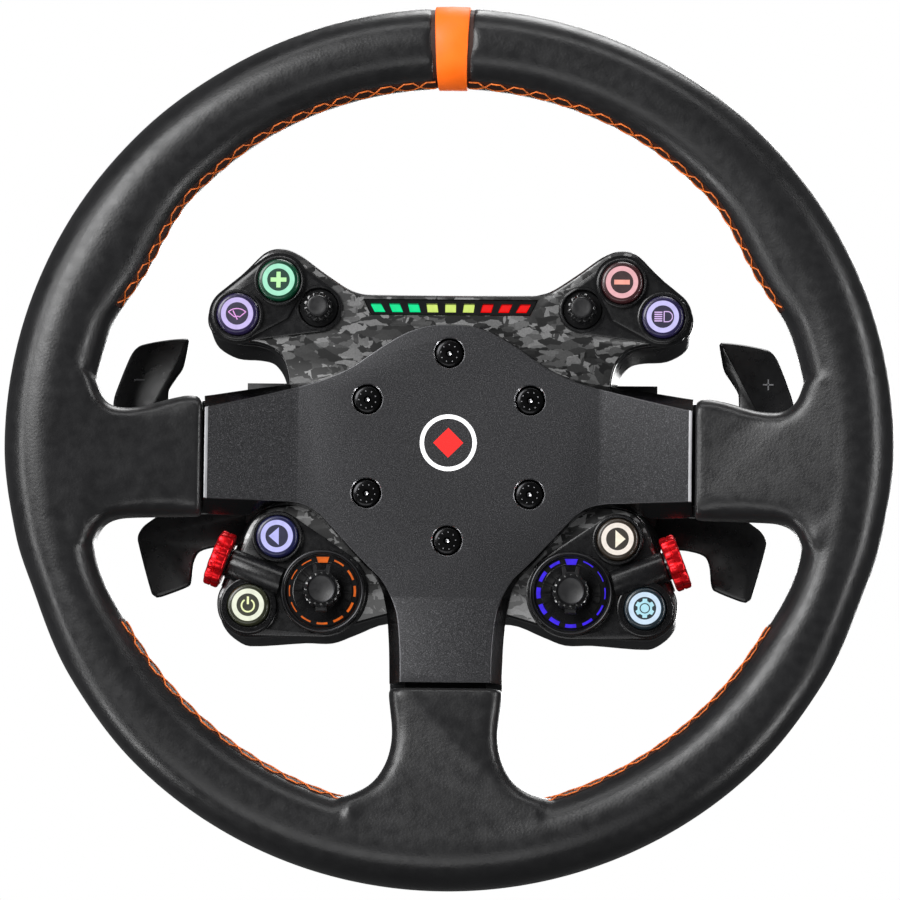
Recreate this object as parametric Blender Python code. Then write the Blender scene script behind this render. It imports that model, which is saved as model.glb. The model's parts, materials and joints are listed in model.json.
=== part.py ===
"""Racing simulator steering wheel: rim, hub plate, lit button pods, dials, thumbwheels, paddles and quick release.

Metres, Z up. The wheel stands upright facing the driver at -Y and turns about the Y axis. The origin is the centre of
the quick-release rear face, so the whole wheel is at y below zero. Plan outlines are given in millimetres as (x, z)
pairs for the right-hand half and mirrored for the left.
"""

import math

import bmesh
import bpy
from mathutils import Vector

MM = 0.001
GAP = 0.3

# Depths in millimetres along Y, from the driver's side (most negative) to the rear.
RIM_Y = -68.0
RIM_HALF_DEPTH = 16.5
CORE_HALF = 2.0
FOLD_RISE = 3.6
FOLD_START = 56.0
FOLD_END = 92.0
HUB_BACK = RIM_Y + CORE_HALF + FOLD_RISE
HUB_FRONT = HUB_BACK - 2 * CORE_HALF
PLATE_BACK = HUB_FRONT - GAP
PLATE_FRONT = PLATE_BACK - 6.0
PLATE_BEVEL = PLATE_BACK - 1.7
FASCIA_FRONT = HUB_FRONT
FASCIA_BACK = HUB_BACK
SHELL_FRONT = FASCIA_BACK + GAP
SHELL_FLOOR = -44.4
SHELL_BACK = -42.0
INSERT_BACK = FASCIA_FRONT - GAP
INSERT_FRONT = INSERT_BACK - 1.2
COLLAR_FRONT = INSERT_FRONT - 3.0
CAP_FRONT = -73.4
BOARD_FRONT = -52.6
BOARD_BACK = -51.0

# Rim section by angle from the top: (degrees, outer radius, inner radius).
RIM_STATIONS = (
    (0, 165.0, 134.9),
    (30, 165.0, 135.0),
    (45, 165.6, 134.4),
    (60, 165.9, 130.8),
    (72, 165.9, 134.0),
    (90, 165.8, 134.6),
    (102, 164.6, 136.0),
    (110, 163.4, 137.4),
    (122, 164.6, 135.9),
    (136, 165.5, 135.8),
    (180, 165.1, 135.8),
)
RIM_STEPS = 54
RIM_SECTION = 12
RIM_SQUARENESS = 2.3
MARKER_HALF_ANGLE = 2.29
GROOVE_HALF_ANGLE = 2.41
GROOVE_DEPTH = 1.3
MARKER_PROUD = 0.4
MARKER_DEPTH = 1.0

CORE_INNER = 143.0
CORE_OUTER = 157.0
TONGUE_TOP = 13.0
TONGUE_BOTTOM = -21.0
TONGUE_HALF = 15.0
TONGUE_REACH = 150.0
HUB_RADIUS = 44.0

# Leather spoke plan outlines and the inset of their rounded shoulders by depth from the mid-plane.
SIDE_SPOKE = (
    (91.8, 17.9),
    (96.0, 18.8),
    (103.5, 17.4),
    (114.7, 14.2),
    (122.5, 13.7),
    (126.4, 15.0),
    (128.7, 17.1),
    (130.3, 20.0),
    (131.7, 24.2),
    (134.5, 29.0),
    (150.0, 32.0),
    (150.0, -41.0),
    (134.5, -39.0),
    (131.6, -35.8),
    (130.4, -32.9),
    (128.9, -30.3),
    (127.0, -28.7),
    (124.4, -27.6),
    (120.5, -26.9),
    (102.6, -26.5),
    (91.8, -26.2),
)
LOWER_SPOKE_HALF = (
    (21.3, -90.0),
    (20.6, -97.0),
    (19.7, -105.0),
    (19.9, -110.5),
    (21.1, -116.0),
    (23.0, -120.3),
    (25.5, -124.0),
    (28.8, -126.9),
    (33.0, -129.0),
    (39.0, -131.0),
    (39.0, -150.0),
)
SHOULDER = ((-9.0, -4.6), (-7.6, -1.7), (-4.6, 0.0), (4.6, 0.0), (7.6, -1.7), (9.0, -4.6))

# Front plate: outer edge and raised face edge, from top centre round to bottom centre.
PLATE_EDGE = (
    (5.0, 46.1),
    (10.5, 45.1),
    (16.5, 43.0),
    (23.2, 39.2),
    (29.9, 34.7),
    (36.5, 30.2),
    (43.2, 27.0),
    (50.2, 24.9),
    (60.0, 23.2),
    (75.0, 21.0),
    (87.0, 19.0),
    (91.0, 18.4),
    (91.0, -25.3),
    (87.0, -25.8),
    (75.0, -25.6),
    (66.0, -22.6),
    (58.5, -21.6),
    (53.0, -22.9),
    (48.6, -25.4),
    (45.4, -28.4),
    (35.8, -38.9),
    (29.6, -45.6),
    (26.6, -48.9),
    (24.4, -52.8),
    (23.0, -58.0),
    (22.0, -64.0),
    (21.2, -75.0),
    (20.8, -87.6),
)
PLATE_FACE = (
    (4.9, 45.5),
    (10.3, 44.5),
    (16.2, 42.4),
    (22.9, 38.6),
    (29.5, 34.1),
    (36.2, 29.5),
    (43.0, 26.2),
    (50.0, 23.6),
    (60.0, 20.9),
    (75.0, 17.2),
    (87.0, 14.4),
    (90.6, 13.6),
    (90.6, -19.9),
    (87.0, -20.1),
    (75.0, -20.4),
    (65.6, -20.8),
    (58.3, -21.0),
    (52.6, -22.3),
    (48.1, -25.0),
    (45.0, -28.0),
    (35.4, -38.5),
    (28.9, -45.2),
    (24.6, -49.4),
    (21.2, -55.0),
    (18.9, -60.5),
    (17.8, -66.0),
    (17.0, -76.0),
    (16.6, -87.2),
)

# Pod outlines, right half. The upper one runs from the middle outward and down, the lower one on to the bottom.
UPPER_POD = (
    (30.5, 57.5),
    (36.0, 58.6),
    (40.0, 60.6),
    (48.0, 66.0),
    (56.0, 71.8),
    (61.5, 74.2),
    (66.5, 74.2),
    (70.5, 72.2),
    (76.5, 66.2),
    (83.0, 60.2),
    (87.6, 55.8),
    (90.3, 50.5),
    (90.3, 45.5),
    (87.5, 41.8),
    (79.5, 39.6),
    (71.5, 38.7),
    (66.0, 36.6),
    (62.5, 32.8),
    (61.0, 29.0),
    (60.2, 24.0),
)
POD_WAIST = 60.0
LOWER_POD = (
    (64.5, -20.5),
    (68.5, -23.2),
    (72.9, -27.3),
    (75.6, -32.2),
    (77.1, -36.7),
    (80.0, -43.5),
    (83.0, -50.3),
    (85.2, -55.0),
    (85.6, -59.5),
    (84.5, -64.0),
    (81.3, -68.0),
    (75.0, -71.0),
    (53.0, -69.8),
    (46.5, -69.1),
    (35.0, -66.1),
    (23.0, -62.7),
)

# The same outlines at the back of the rear shell, which leans outward below.
UPPER_POD_REAR = (
    (30.5, 56.3),
    (36.0, 57.4),
    (40.0, 59.4),
    (48.0, 64.8),
    (56.0, 70.6),
    (61.5, 73.0),
    (66.5, 73.0),
    (70.7, 71.0),
    (76.8, 65.0),
    (83.3, 59.0),
    (87.9, 54.6),
    (90.5, 49.0),
    (90.2, 44.4),
    (87.6, 39.0),
    (80.5, 35.0),
    (72.0, 34.3),
    (67.2, 33.2),
    (64.2, 30.2),
    (62.4, 26.4),
    (61.6, 22.0),
)
LOWER_POD_REAR = (
    (66.0, -22.0),
    (69.4, -24.8),
    (73.4, -28.9),
    (76.0, -33.8),
    (77.5, -38.3),
    (80.4, -45.1),
    (83.3, -51.9),
    (85.4, -56.6),
    (85.7, -61.2),
    (84.4, -65.8),
    (80.8, -70.1),
    (74.5, -73.2),
    (53.5, -71.9),
    (43.5, -71.9),
    (35.0, -68.8),
    (23.0, -64.4),
)

# Controls, right half: (x, z) centres.
UPPER_BUTTONS = {"plus": (64.0, 62.0), "wiper": (79.3, 49.2)}
LOWER_BUTTONS = {"arrow": (63.3, -33.9), "power": (73.7, -59.6)}
RIGHT_NAMES = {"plus": "minus", "wiper": "beam", "arrow": "arrow", "power": "menu"}
STICK = (49.2, 52.2)
DIAL = (46.2, -54.0)
CAP_RADIUS = 7.7
COLLAR_RADII = {"plus": 9.7, "wiper": 9.9, "arrow": 9.9, "power": 10.9}
STICK_WELL = 7.6
STICK_PIVOT_Y = -60.0

# Thumbwheel beside each lower pod, on an axis that points outward and up.
WHEEL_CENTRE = (84.7, -67.2, -42.2)
WHEEL_TILT = 21.0
WHEEL_RADIUS = 10.5
WHEEL_HALF = 3.0
ENCODER_RADIUS = 3.5

# Light bar across the top of the pods.
LED_PITCH = 6.8
LED_Z = 52.6
LED_SLOT = ((-32.6, 55.8), (32.6, 55.8), (29.8, 49.8), (-29.8, 49.8))

BOLT_CIRCLE = 35.0
BOLT_COUNT = 6
BOLT_HEAD = 5.2
BOLT_SHANK = 2.9

# Paddles behind the spokes, both on one vertical pin each side.
PIN_X = 66.0
PIN_Y = -32.0
PIN_RADIUS = 2.0
KNUCKLE_RADIUS = 5.0
BLADE_HALF = 1.5
SHIFT_PADDLE = (
    (66.0, 16.0),
    (90.0, 16.0),
    (106.6, 20.0),
    (106.2, 24.8),
    (103.6, 29.2),
    (101.0, 33.2),
    (99.8, 38.4),
    (99.0, 43.2),
    (100.0, 44.1),
    (108.0, 43.4),
    (116.8, 41.6),
    (119.5, 39.8),
    (121.5, 36.6),
    (125.2, 27.2),
    (127.4, 19.5),
    (126.0, 6.0),
    (119.0, -4.0),
    (100.0, -7.9),
    (66.0, -7.9),
)
CLUTCH_PADDLE = (
    (66.0, -11.9),
    (96.0, -13.0),
    (104.0, -18.5),
    (115.5, -26.5),
    (118.0, -30.0),
    (118.2, -33.0),
    (112.8, -52.3),
    (110.8, -54.0),
    (108.5, -53.5),
    (98.8, -49.6),
    (97.6, -47.0),
    (96.9, -40.5),
    (94.8, -36.5),
    (88.0, -33.2),
    (80.0, -29.0),
    (74.0, -21.4),
    (66.0, -21.4),
)
CARRIER_INNER = 50.0
CARRIER_OUTER = 77.0
CARRIER_HALF_HEIGHT = 26.4

NECK_RADIUS = 28.0
FLANGE_RADIUS = 42.0
FLANGE_BACK = -56.0
SOCKET_RADIUS = 17.0
SOCKET_DEPTH = 24.0
SLEEVE_RADIUS = 34.0
SLEEVE_FRONT = -34.0
SLEEVE_BACK = -14.0

for old in list(bpy.data.objects):
    bpy.data.objects.remove(old, do_unlink=True)

PARTS = bpy.data.collections.new("racing_wheel")
CUTTERS = bpy.data.collections.new("cutters")
bpy.context.scene.collection.children.link(PARTS)
bpy.context.scene.collection.children.link(CUTTERS)


def make_material(name, colour, metallic, roughness, glow=0.0):
    material = bpy.data.materials.new(name)
    material.use_nodes = True
    shader = material.node_tree.nodes["Principled BSDF"]
    shader.inputs["Base Color"].default_value = (*colour, 1.0)
    shader.inputs["Metallic"].default_value = metallic
    shader.inputs["Roughness"].default_value = roughness
    shader.inputs["Emission Color"].default_value = (*colour, 1.0)
    shader.inputs["Emission Strength"].default_value = glow
    material.diffuse_color = (*colour, 1.0)
    return material


def finish_mesh(build, mesh):
    """Triangulated and scaled from millimetres to metres."""
    build.normal_update()
    bmesh.ops.triangulate(build, faces=build.faces)
    bmesh.ops.recalc_face_normals(build, faces=build.faces)
    bmesh.ops.scale(build, vec=(MM, MM, MM), verts=build.verts)
    build.to_mesh(mesh)
    build.free()


def edit_mesh(mesh):
    build = bmesh.new()
    build.from_mesh(mesh)
    bmesh.ops.scale(build, vec=(1 / MM, 1 / MM, 1 / MM), verts=build.verts)
    return build


def solid_from_rings(name, rings, loop=False):
    """Closed solid skinned over a run of rings, capped at both ends or joined back to the first ring."""
    mesh = bpy.data.meshes.new(name)
    build = bmesh.new()
    rows = []
    for points in rings:
        rows.append([build.verts.new(Vector(point)) for point in points])
    pairs = list(zip(rows, rows[1:]))
    if loop:
        pairs.append((rows[-1], rows[0]))
    for first, second in pairs:
        for index in range(len(first)):
            after = (index + 1) % len(first)
            build.faces.new((first[index], first[after], second[after], second[index]))
    if not loop:
        build.faces.new(rows[0])
        build.faces.new(rows[-1])
    finish_mesh(build, mesh)
    return bpy.data.objects.new(name, mesh)


def add_part(body, colour, metallic=0.0, roughness=0.5, glow=0.0):
    body.data.materials.clear()
    body.data.materials.append(make_material(body.name, colour, metallic, roughness, glow))
    PARTS.objects.link(body)
    return body


def add_cutter(body):
    CUTTERS.objects.link(body)
    body.hide_render = True
    body.display_type = "WIRE"
    return body


def combine(body, other, operation):
    add_cutter(other)
    step = body.modifiers.new(other.name, "BOOLEAN")
    step.operation = operation
    step.solver = "EXACT"
    step.object = other


def cut(body, other):
    combine(body, other, "DIFFERENCE")


def join(body, other):
    combine(body, other, "UNION")


def circle(radius, centre, axis, segments, lobe=0.0):
    """Ring of points about an axis; a lobe depth pulls every other pair of points inward."""
    axis = Vector(axis).normalized()
    first = Vector((0.0, 0.0, 1.0))
    first = (first - axis * axis.dot(first)).normalized()
    second = axis.cross(first)
    points = []
    for index in range(segments):
        angle = 2 * math.pi * index / segments
        reach = radius - (lobe if index % 4 > 1 else 0.0)
        points.append(Vector(centre) + reach * (math.cos(angle) * first + math.sin(angle) * second))
    return points


def turned(name, profile, centre, axis=(0.0, 1.0, 0.0), segments=16, loop=False, lobe=0.0):
    """Solid of revolution: the profile is (radius, distance along the axis from the centre) pairs."""
    rings = []
    for radius, along in profile:
        middle = Vector(centre) + Vector(axis).normalized() * along
        rings.append(circle(radius, middle, axis, segments, lobe))
    return solid_from_rings(name, rings, loop)


def drum(name, x, z, radius, front, back, segments=16):
    return turned(name, ((radius, front), (radius, back)), (x, 0.0, z), segments=segments)


def at_depth(outline, depth):
    return [(x, depth, z) for x, z in outline]


def prism(name, outline, front, back):
    return solid_from_rings(name, [at_depth(outline, front), at_depth(outline, back)])


def box(name, low, high):
    outline = ((low[0], low[2]), (high[0], low[2]), (high[0], high[2]), (low[0], high[2]))
    return prism(name, outline, low[1], high[1])


def flipped(outline, side):
    return [(side * x, z) for x, z in outline]


def mirrored(half):
    """Whole outline from a right half that runs from the top to the bottom."""
    return list(half) + [(-x, z) for x, z in reversed(half)]


def offset(outline, distance):
    """Outline moved outward along the mitred normals of its corners."""
    count = len(outline)
    area = 0.0
    for index, (x, z) in enumerate(outline):
        after_x, after_z = outline[(index + 1) % count]
        area += x * after_z - after_x * z
    turn = 1.0 if area > 0 else -1.0
    moved = []
    for index in range(count):
        here = Vector(outline[index])
        before = (here - Vector(outline[index - 1])).normalized()
        after = (Vector(outline[(index + 1) % count]) - here).normalized()
        normal_before = Vector((before.y, -before.x)) * turn
        normal_after = Vector((after.y, -after.x)) * turn
        mitre = (normal_before + normal_after) / max(0.5, 1.0 + normal_before.dot(normal_after))
        moved.append(tuple(here + mitre * distance))
    return moved


def hull(discs, segments=18):
    """Convex outline drawn tight around discs given as (x, z, radius)."""
    cloud = []
    for x, z, radius in discs:
        for index in range(segments):
            angle = 2 * math.pi * index / segments
            cloud.append((x + radius * math.cos(angle), z + radius * math.sin(angle)))
    cloud.sort()
    sides = []
    for run in (cloud, cloud[::-1]):
        chain = []
        for point in run:
            while len(chain) > 1:
                ax, az = chain[-2]
                bx, bz = chain[-1]
                if (bx - ax) * (point[1] - az) - (bz - az) * (point[0] - ax) > 0:
                    break
                chain.pop()
            chain.append(point)
        sides += chain[:-1]
    return sides


def fold(distance):
    """Forward rise of a spoke at a distance from the hub centre."""
    share = (distance - FOLD_START) / (FOLD_END - FOLD_START)
    return -FOLD_RISE * min(1.0, max(0.0, share))


def rim_radii(angle):
    angle = abs((angle + 180.0) % 360.0 - 180.0)
    for first, second in zip(RIM_STATIONS, RIM_STATIONS[1:]):
        if angle <= second[0]:
            share = (angle - first[0]) / (second[0] - first[0])
            share = share * share * (3.0 - 2.0 * share)
            outer = first[1] + (second[1] - first[1]) * share
            inner = first[2] + (second[2] - first[2]) * share
            return outer, inner
    return RIM_STATIONS[-1][1:]


def rim_section(angle, grow):
    """Closed oval section of the grip at an angle from the top, grown outward by a distance."""
    outer, inner = rim_radii(angle)
    middle = (outer + inner) / 2
    half_width = (outer - inner) / 2 + grow
    half_depth = RIM_HALF_DEPTH + grow
    turn = math.radians(angle)
    points = []
    for index in range(RIM_SECTION):
        around = 2 * math.pi * index / RIM_SECTION
        across = math.copysign(abs(math.cos(around)) ** (2 / RIM_SQUARENESS), math.cos(around))
        deep = math.copysign(abs(math.sin(around)) ** (2 / RIM_SQUARENESS), math.sin(around))
        radius = middle + half_width * across
        points.append((radius * math.sin(turn), RIM_Y + half_depth * deep, radius * math.cos(turn)))
    return points


def tongue(name, side, clearance):
    """Flat bar from the hub out to the core ring along one side spoke, stepped forward by the fold."""
    rings = []
    for reach in (30.0, FOLD_START, FOLD_END, TONGUE_REACH):
        front = HUB_FRONT + fold(reach) - clearance
        back = HUB_BACK + fold(reach) + clearance
        low = TONGUE_BOTTOM - clearance
        high = TONGUE_TOP + clearance
        x = side * reach
        rings.append([(x, front, low), (x, back, low), (x, back, high), (x, front, high)])
    return solid_from_rings(name, rings)


def lower_tongue(name, clearance):
    rings = []
    for reach in (30.0, FOLD_START, FOLD_END, TONGUE_REACH):
        front = HUB_FRONT + fold(reach) - clearance
        back = HUB_BACK + fold(reach) + clearance
        half = TONGUE_HALF + clearance
        rings.append([(-half, front, -reach), (-half, back, -reach), (half, back, -reach), (half, front, -reach)])
    return solid_from_rings(name, rings)


def core_ring(name, clearance):
    front = RIM_Y - CORE_HALF - clearance
    back = RIM_Y + CORE_HALF + clearance
    inner = CORE_INNER - clearance
    outer = CORE_OUTER + clearance
    profile = ((inner, front), (outer, front), (outer, back), (inner, back))
    return turned(name, profile, (0.0, 0.0, 0.0), segments=48, loop=True)


def spoke_grip(name, outline, held):
    """Rounded leather spoke; the two end points keep their place along the spoke so the end stays flat."""
    rings = []
    for depth, grow in SHOULDER:
        moved = offset(outline, grow)
        for index in (0, len(outline) - 1):
            point = list(moved[index])
            point[held] = outline[index][held]
            moved[index] = tuple(point)
        rings.append(at_depth(moved, RIM_Y + depth))
    return solid_from_rings(name, rings)


def build_rim():
    core = core_ring("rim_core", 0.0)
    join(core, drum("core_hub", 0.0, 0.0, HUB_RADIUS, HUB_FRONT, HUB_BACK, 32))
    for side in (-1, 1):
        join(core, tongue(f"core_tongue_{side}", side, 0.0))
    join(core, lower_tongue("core_lower_tongue", 0.0))
    add_part(core, (0.45, 0.46, 0.48), 1.0, 0.4)

    angles = []
    for index in range(1, RIM_STEPS):
        angles.append(360.0 * index / RIM_STEPS)
    stations = [(0.0, -GROOVE_DEPTH), (GROOVE_HALF_ANGLE, -GROOVE_DEPTH), (GROOVE_HALF_ANGLE + 0.1, 0.0)]
    stations += [(angle, 0.0) for angle in angles]
    stations += [(360.0 - GROOVE_HALF_ANGLE - 0.1, 0.0), (360.0 - GROOVE_HALF_ANGLE, -GROOVE_DEPTH)]
    wrap = solid_from_rings("rim_wrap", [rim_section(angle, grow) for angle, grow in stations], True)
    for side in (-1, 1):
        join(wrap, spoke_grip(f"grip_spoke_{side}", flipped(SIDE_SPOKE, side), 0))
    lower = [(x, z) for x, z in LOWER_SPOKE_HALF] + [(-x, z) for x, z in reversed(LOWER_SPOKE_HALF)]
    join(wrap, spoke_grip("grip_spoke_lower", lower, 1))
    cut(wrap, core_ring("core_ring_room", GAP))
    for side in (-1, 1):
        cut(wrap, tongue(f"tongue_room_{side}", side, GAP))
    cut(wrap, lower_tongue("lower_tongue_room", GAP))
    add_part(wrap, (0.03, 0.03, 0.033), 0.0, 0.55)

    band = []
    for grow in (MARKER_PROUD, -MARKER_DEPTH):
        for angle in (-MARKER_HALF_ANGLE, 0.0, MARKER_HALF_ANGLE):
            band.append((angle, grow))
    order = [band[0], band[1], band[2], band[5], band[4], band[3]]
    marker = solid_from_rings("centre_marker", [rim_section(angle, grow) for angle, grow in order], True)
    add_part(marker, (1.0, 0.2, 0.01), 0.0, 0.6)


def build_plate():
    edge = mirrored(PLATE_EDGE)
    face = mirrored(PLATE_FACE)
    rings = [at_depth(edge, PLATE_BACK), at_depth(edge, PLATE_BEVEL), at_depth(face, PLATE_FRONT)]
    plate = solid_from_rings("front_plate", rings)
    build = edit_mesh(plate.data)
    for normal in ((1, 0, 0), (-1, 0, 0), (0, 0, -1)):
        everything = build.verts[:] + build.edges[:] + build.faces[:]
        spot = Vector(normal) * FOLD_START
        bmesh.ops.bisect_plane(build, geom=everything, dist=0.001, plane_co=spot, plane_no=normal)
    for vertex in build.verts:
        vertex.co.y += fold(max(abs(vertex.co.x), -vertex.co.z))
    finish_mesh(build, plate.data)
    for index in range(BOLT_COUNT):
        angle = math.radians(90.0 + 60.0 * index)
        x = BOLT_CIRCLE * math.cos(angle)
        z = BOLT_CIRCLE * math.sin(angle)
        profile = (
            (BOLT_HEAD + 0.4, PLATE_FRONT - 1.0),
            (BOLT_HEAD + 0.4, PLATE_FRONT + 3.4),
            (BOLT_SHANK + GAP, PLATE_FRONT + 3.4),
            (BOLT_SHANK + GAP, FLANGE_BACK + 1.0),
        )
        drill = turned(f"bolt_room_{index}", profile, (x, 0.0, z))
        cut(plate, drill)
        for name in ("rim_core", "quick_release_body"):
            step = bpy.data.objects[name].modifiers.new(drill.name, "BOOLEAN")
            step.operation = "DIFFERENCE"
            step.solver = "EXACT"
            step.object = drill
        head_back = PLATE_FRONT + 3.1
        profile = (
            (BOLT_HEAD, PLATE_FRONT + 0.5),
            (BOLT_HEAD, head_back),
            (BOLT_SHANK, head_back),
            (BOLT_SHANK, FLANGE_BACK + 0.8),
        )
        bolt = turned(f"hub_bolt_{index + 1}", profile, (x, 0.0, z))
        cut(bolt, drum(f"bolt_socket_{index}", x, z, 1.8, PLATE_FRONT - 1.0, PLATE_FRONT + 2.1, 6))
        add_part(bolt, (0.015, 0.015, 0.016), 0.9, 0.25)
    add_part(plate, (0.075, 0.077, 0.082), 0.8, 0.45)


def build_quick_release():
    profile = (
        (FLANGE_RADIUS, HUB_BACK + GAP),
        (FLANGE_RADIUS, FLANGE_BACK),
        (NECK_RADIUS, FLANGE_BACK),
        (NECK_RADIUS, -2.0),
        (NECK_RADIUS - 2.0, 0.0),
        (SOCKET_RADIUS, 0.0),
        (SOCKET_RADIUS, -SOCKET_DEPTH),
    )
    body = turned("quick_release_body", profile, (0.0, 0.0, 0.0), segments=32)
    add_part(body, (0.08, 0.08, 0.085), 0.9, 0.35)
    profile = (
        (NECK_RADIUS + GAP, SLEEVE_FRONT),
        (SLEEVE_RADIUS, SLEEVE_FRONT),
        (SLEEVE_RADIUS, SLEEVE_BACK),
        (NECK_RADIUS + GAP, SLEEVE_BACK),
    )
    sleeve = turned("release_sleeve", profile, (0.0, 0.0, 0.0), segments=32, loop=True)
    for index in range(8):
        angle = 2 * math.pi * (index + 0.5) / 8
        x = (SLEEVE_RADIUS + 1.2) * math.cos(angle)
        z = (SLEEVE_RADIUS + 1.2) * math.sin(angle)
        cut(sleeve, drum(f"sleeve_scallop_{index}", x, z, 3.4, SLEEVE_FRONT - 2.0, SLEEVE_BACK - 6.0, 10))
    add_part(sleeve, (0.4, 0.41, 0.43), 1.0, 0.3)


def shell_outline(upper, lower):
    half = list(upper) + [(POD_WAIST, 12.0), (POD_WAIST, -14.0)] + list(lower)
    return mirrored(half)


def build_shell():
    front = shell_outline(UPPER_POD, LOWER_POD)
    rear = shell_outline(UPPER_POD_REAR, LOWER_POD_REAR)
    rings = [
        at_depth(offset(rear, -2.6), SHELL_FLOOR),
        at_depth(offset(front, -2.0), SHELL_FRONT),
        at_depth(front, SHELL_FRONT),
        at_depth(rear, -46.0),
        at_depth(offset(rear, -0.4), -44.0),
        at_depth(offset(rear, -1.8), SHELL_BACK),
    ]
    shell = solid_from_rings("rear_shell", rings)
    neck_room = NECK_RADIUS + 1.0
    cut(shell, drum("neck_room", 0.0, 0.0, neck_room, SHELL_FLOOR - 2.0, SHELL_BACK + 2.0, 32))
    add_part(shell, (0.02, 0.02, 0.022), 0.0, 0.35)
    board = prism("circuit_board", offset(front, -4.8), BOARD_FRONT, BOARD_BACK)
    cut(board, drum("board_room", 0.0, 0.0, NECK_RADIUS + 2.0, BOARD_FRONT - 1.0, BOARD_BACK + 1.0, 24))
    add_part(board, (0.02, 0.16, 0.07), 0.0, 0.5)


def led_outline(index, width, height):
    """Lamp window: upright in the middle and leaning further outward toward each end."""
    x = LED_PITCH * index
    lean = 0.22 * index
    half = width / 2
    low = LED_Z - height / 2
    high = LED_Z + height / 2
    return ((x - half + lean, high), (x + half + lean, high), (x + half - lean, low), (x - half - lean, low))


def build_upper_fascia():
    floor = TONGUE_TOP + 2 * GAP
    outline = mirrored(list(UPPER_POD) + [(POD_WAIST, floor)])
    fascia = prism("fascia_upper", outline, FASCIA_FRONT, FASCIA_BACK)
    cut(fascia, drum("upper_hub_room", 0.0, 0.0, HUB_RADIUS + GAP, FASCIA_FRONT - 1.0, FASCIA_BACK + 1.0, 32))
    cut(fascia, prism("light_bar_room", LED_SLOT, FASCIA_FRONT - 1.0, FASCIA_BACK + 1.0))
    for side in (-1, 1):
        for name, (x, z) in UPPER_BUTTONS.items():
            room = drum(f"{name}_room_{side}", side * x, z, 5.8, FASCIA_FRONT - 1.0, FASCIA_BACK + 1.0)
            cut(fascia, room)
        room = drum(f"stick_room_{side}", side * STICK[0], STICK[1], 4.6, FASCIA_FRONT - 1.0, FASCIA_BACK + 1.0)
        cut(fascia, room)
    add_part(fascia, (0.06, 0.06, 0.065), 0.3, 0.25)

    mask_front = FASCIA_FRONT + 0.3
    mask_back = mask_front + 1.6
    mask = prism("light_bar_mask", offset(LED_SLOT, -GAP), mask_front, mask_back)
    add_part(mask, (0.008, 0.008, 0.009), 0.0, 0.15)
    groups = (
        ("light_bar_green", (-4, -3, -2), (0.1, 1.0, 0.45)),
        ("light_bar_yellow", (-1, 0, 1), (0.65, 1.0, 0.1)),
        ("light_bar_red", (2, 3, 4), (1.0, 0.1, 0.06)),
    )
    for name, members, colour in groups:
        low = (LED_PITCH * members[0] - 2.6, mask_back + GAP, LED_Z - 1.4)
        high = (LED_PITCH * members[-1] + 2.6, FASCIA_BACK - 0.4, LED_Z + 1.4)
        strip = box(name, low, high)
        for index in members:
            window = prism(f"window_{index}", led_outline(index, 4.0, 3.2), mask_front - 1.0, mask_back + 1.0)
            cut(mask, window)
            lens = prism(f"lens_{index}", led_outline(index, 3.4, 2.5), mask_front + 0.1, mask_back + 0.8)
            join(strip, lens)
        add_part(strip, colour, 0.0, 0.3, 4.0)


def wheel_axis(side):
    tilt = math.radians(WHEEL_TILT)
    return Vector((side * math.cos(tilt), 0.0, math.sin(tilt)))


def wheel_centre(side):
    x, y, z = WHEEL_CENTRE
    return Vector((side * x, y, z))


def build_lower_fascia(side, word):
    ceiling = TONGUE_BOTTOM - 2 * GAP
    wall = TONGUE_HALF + 2 * GAP
    outline = [(38.0, ceiling)] + [(62.0, ceiling)] + list(LOWER_POD)[1:]
    outline += [(wall, -61.2), (wall, -38.0)]
    fascia = prism(f"fascia_lower_{word}", flipped(outline, side), FASCIA_FRONT, FASCIA_BACK)
    before = FASCIA_FRONT - 1.0
    after = FASCIA_BACK + 1.0
    cut(fascia, drum(f"lower_hub_room_{word}", 0.0, 0.0, HUB_RADIUS + GAP, before, after, 32))
    for name, (x, z) in LOWER_BUTTONS.items():
        cut(fascia, drum(f"{name}_room_{word}", side * x, z, 5.8, before, after))
    cut(fascia, drum(f"dial_room_{word}", side * DIAL[0], DIAL[1], 4.0, before, after))
    groove = ((ENCODER_RADIUS + GAP, 3.0), (ENCODER_RADIUS + GAP, -19.5))
    cut(fascia, turned(f"encoder_groove_{word}", groove, wheel_centre(side), wheel_axis(side)))
    add_part(fascia, (0.06, 0.06, 0.065), 0.3, 0.25)


def arch(name, side):
    """Half-round housing over the encoder, flat behind, along the thumbwheel's axis."""
    centre = wheel_centre(side)
    axis = wheel_axis(side)
    across = axis.cross(Vector((0.0, 1.0, 0.0)))
    radius = ENCODER_RADIUS + 2.3
    dip = math.asin((INSERT_BACK - 0.2 - centre.y) / radius)
    rings = []
    for along in (-4.0, -20.6):
        points = []
        for index in range(13):
            angle = -dip + (math.pi + 2 * dip) * index / 12
            rise = Vector((0.0, -radius * math.sin(angle), 0.0))
            points.append(centre + axis * along + across * radius * math.cos(angle) + rise)
        rings.append(points)
    return solid_from_rings(name, rings)


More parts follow.
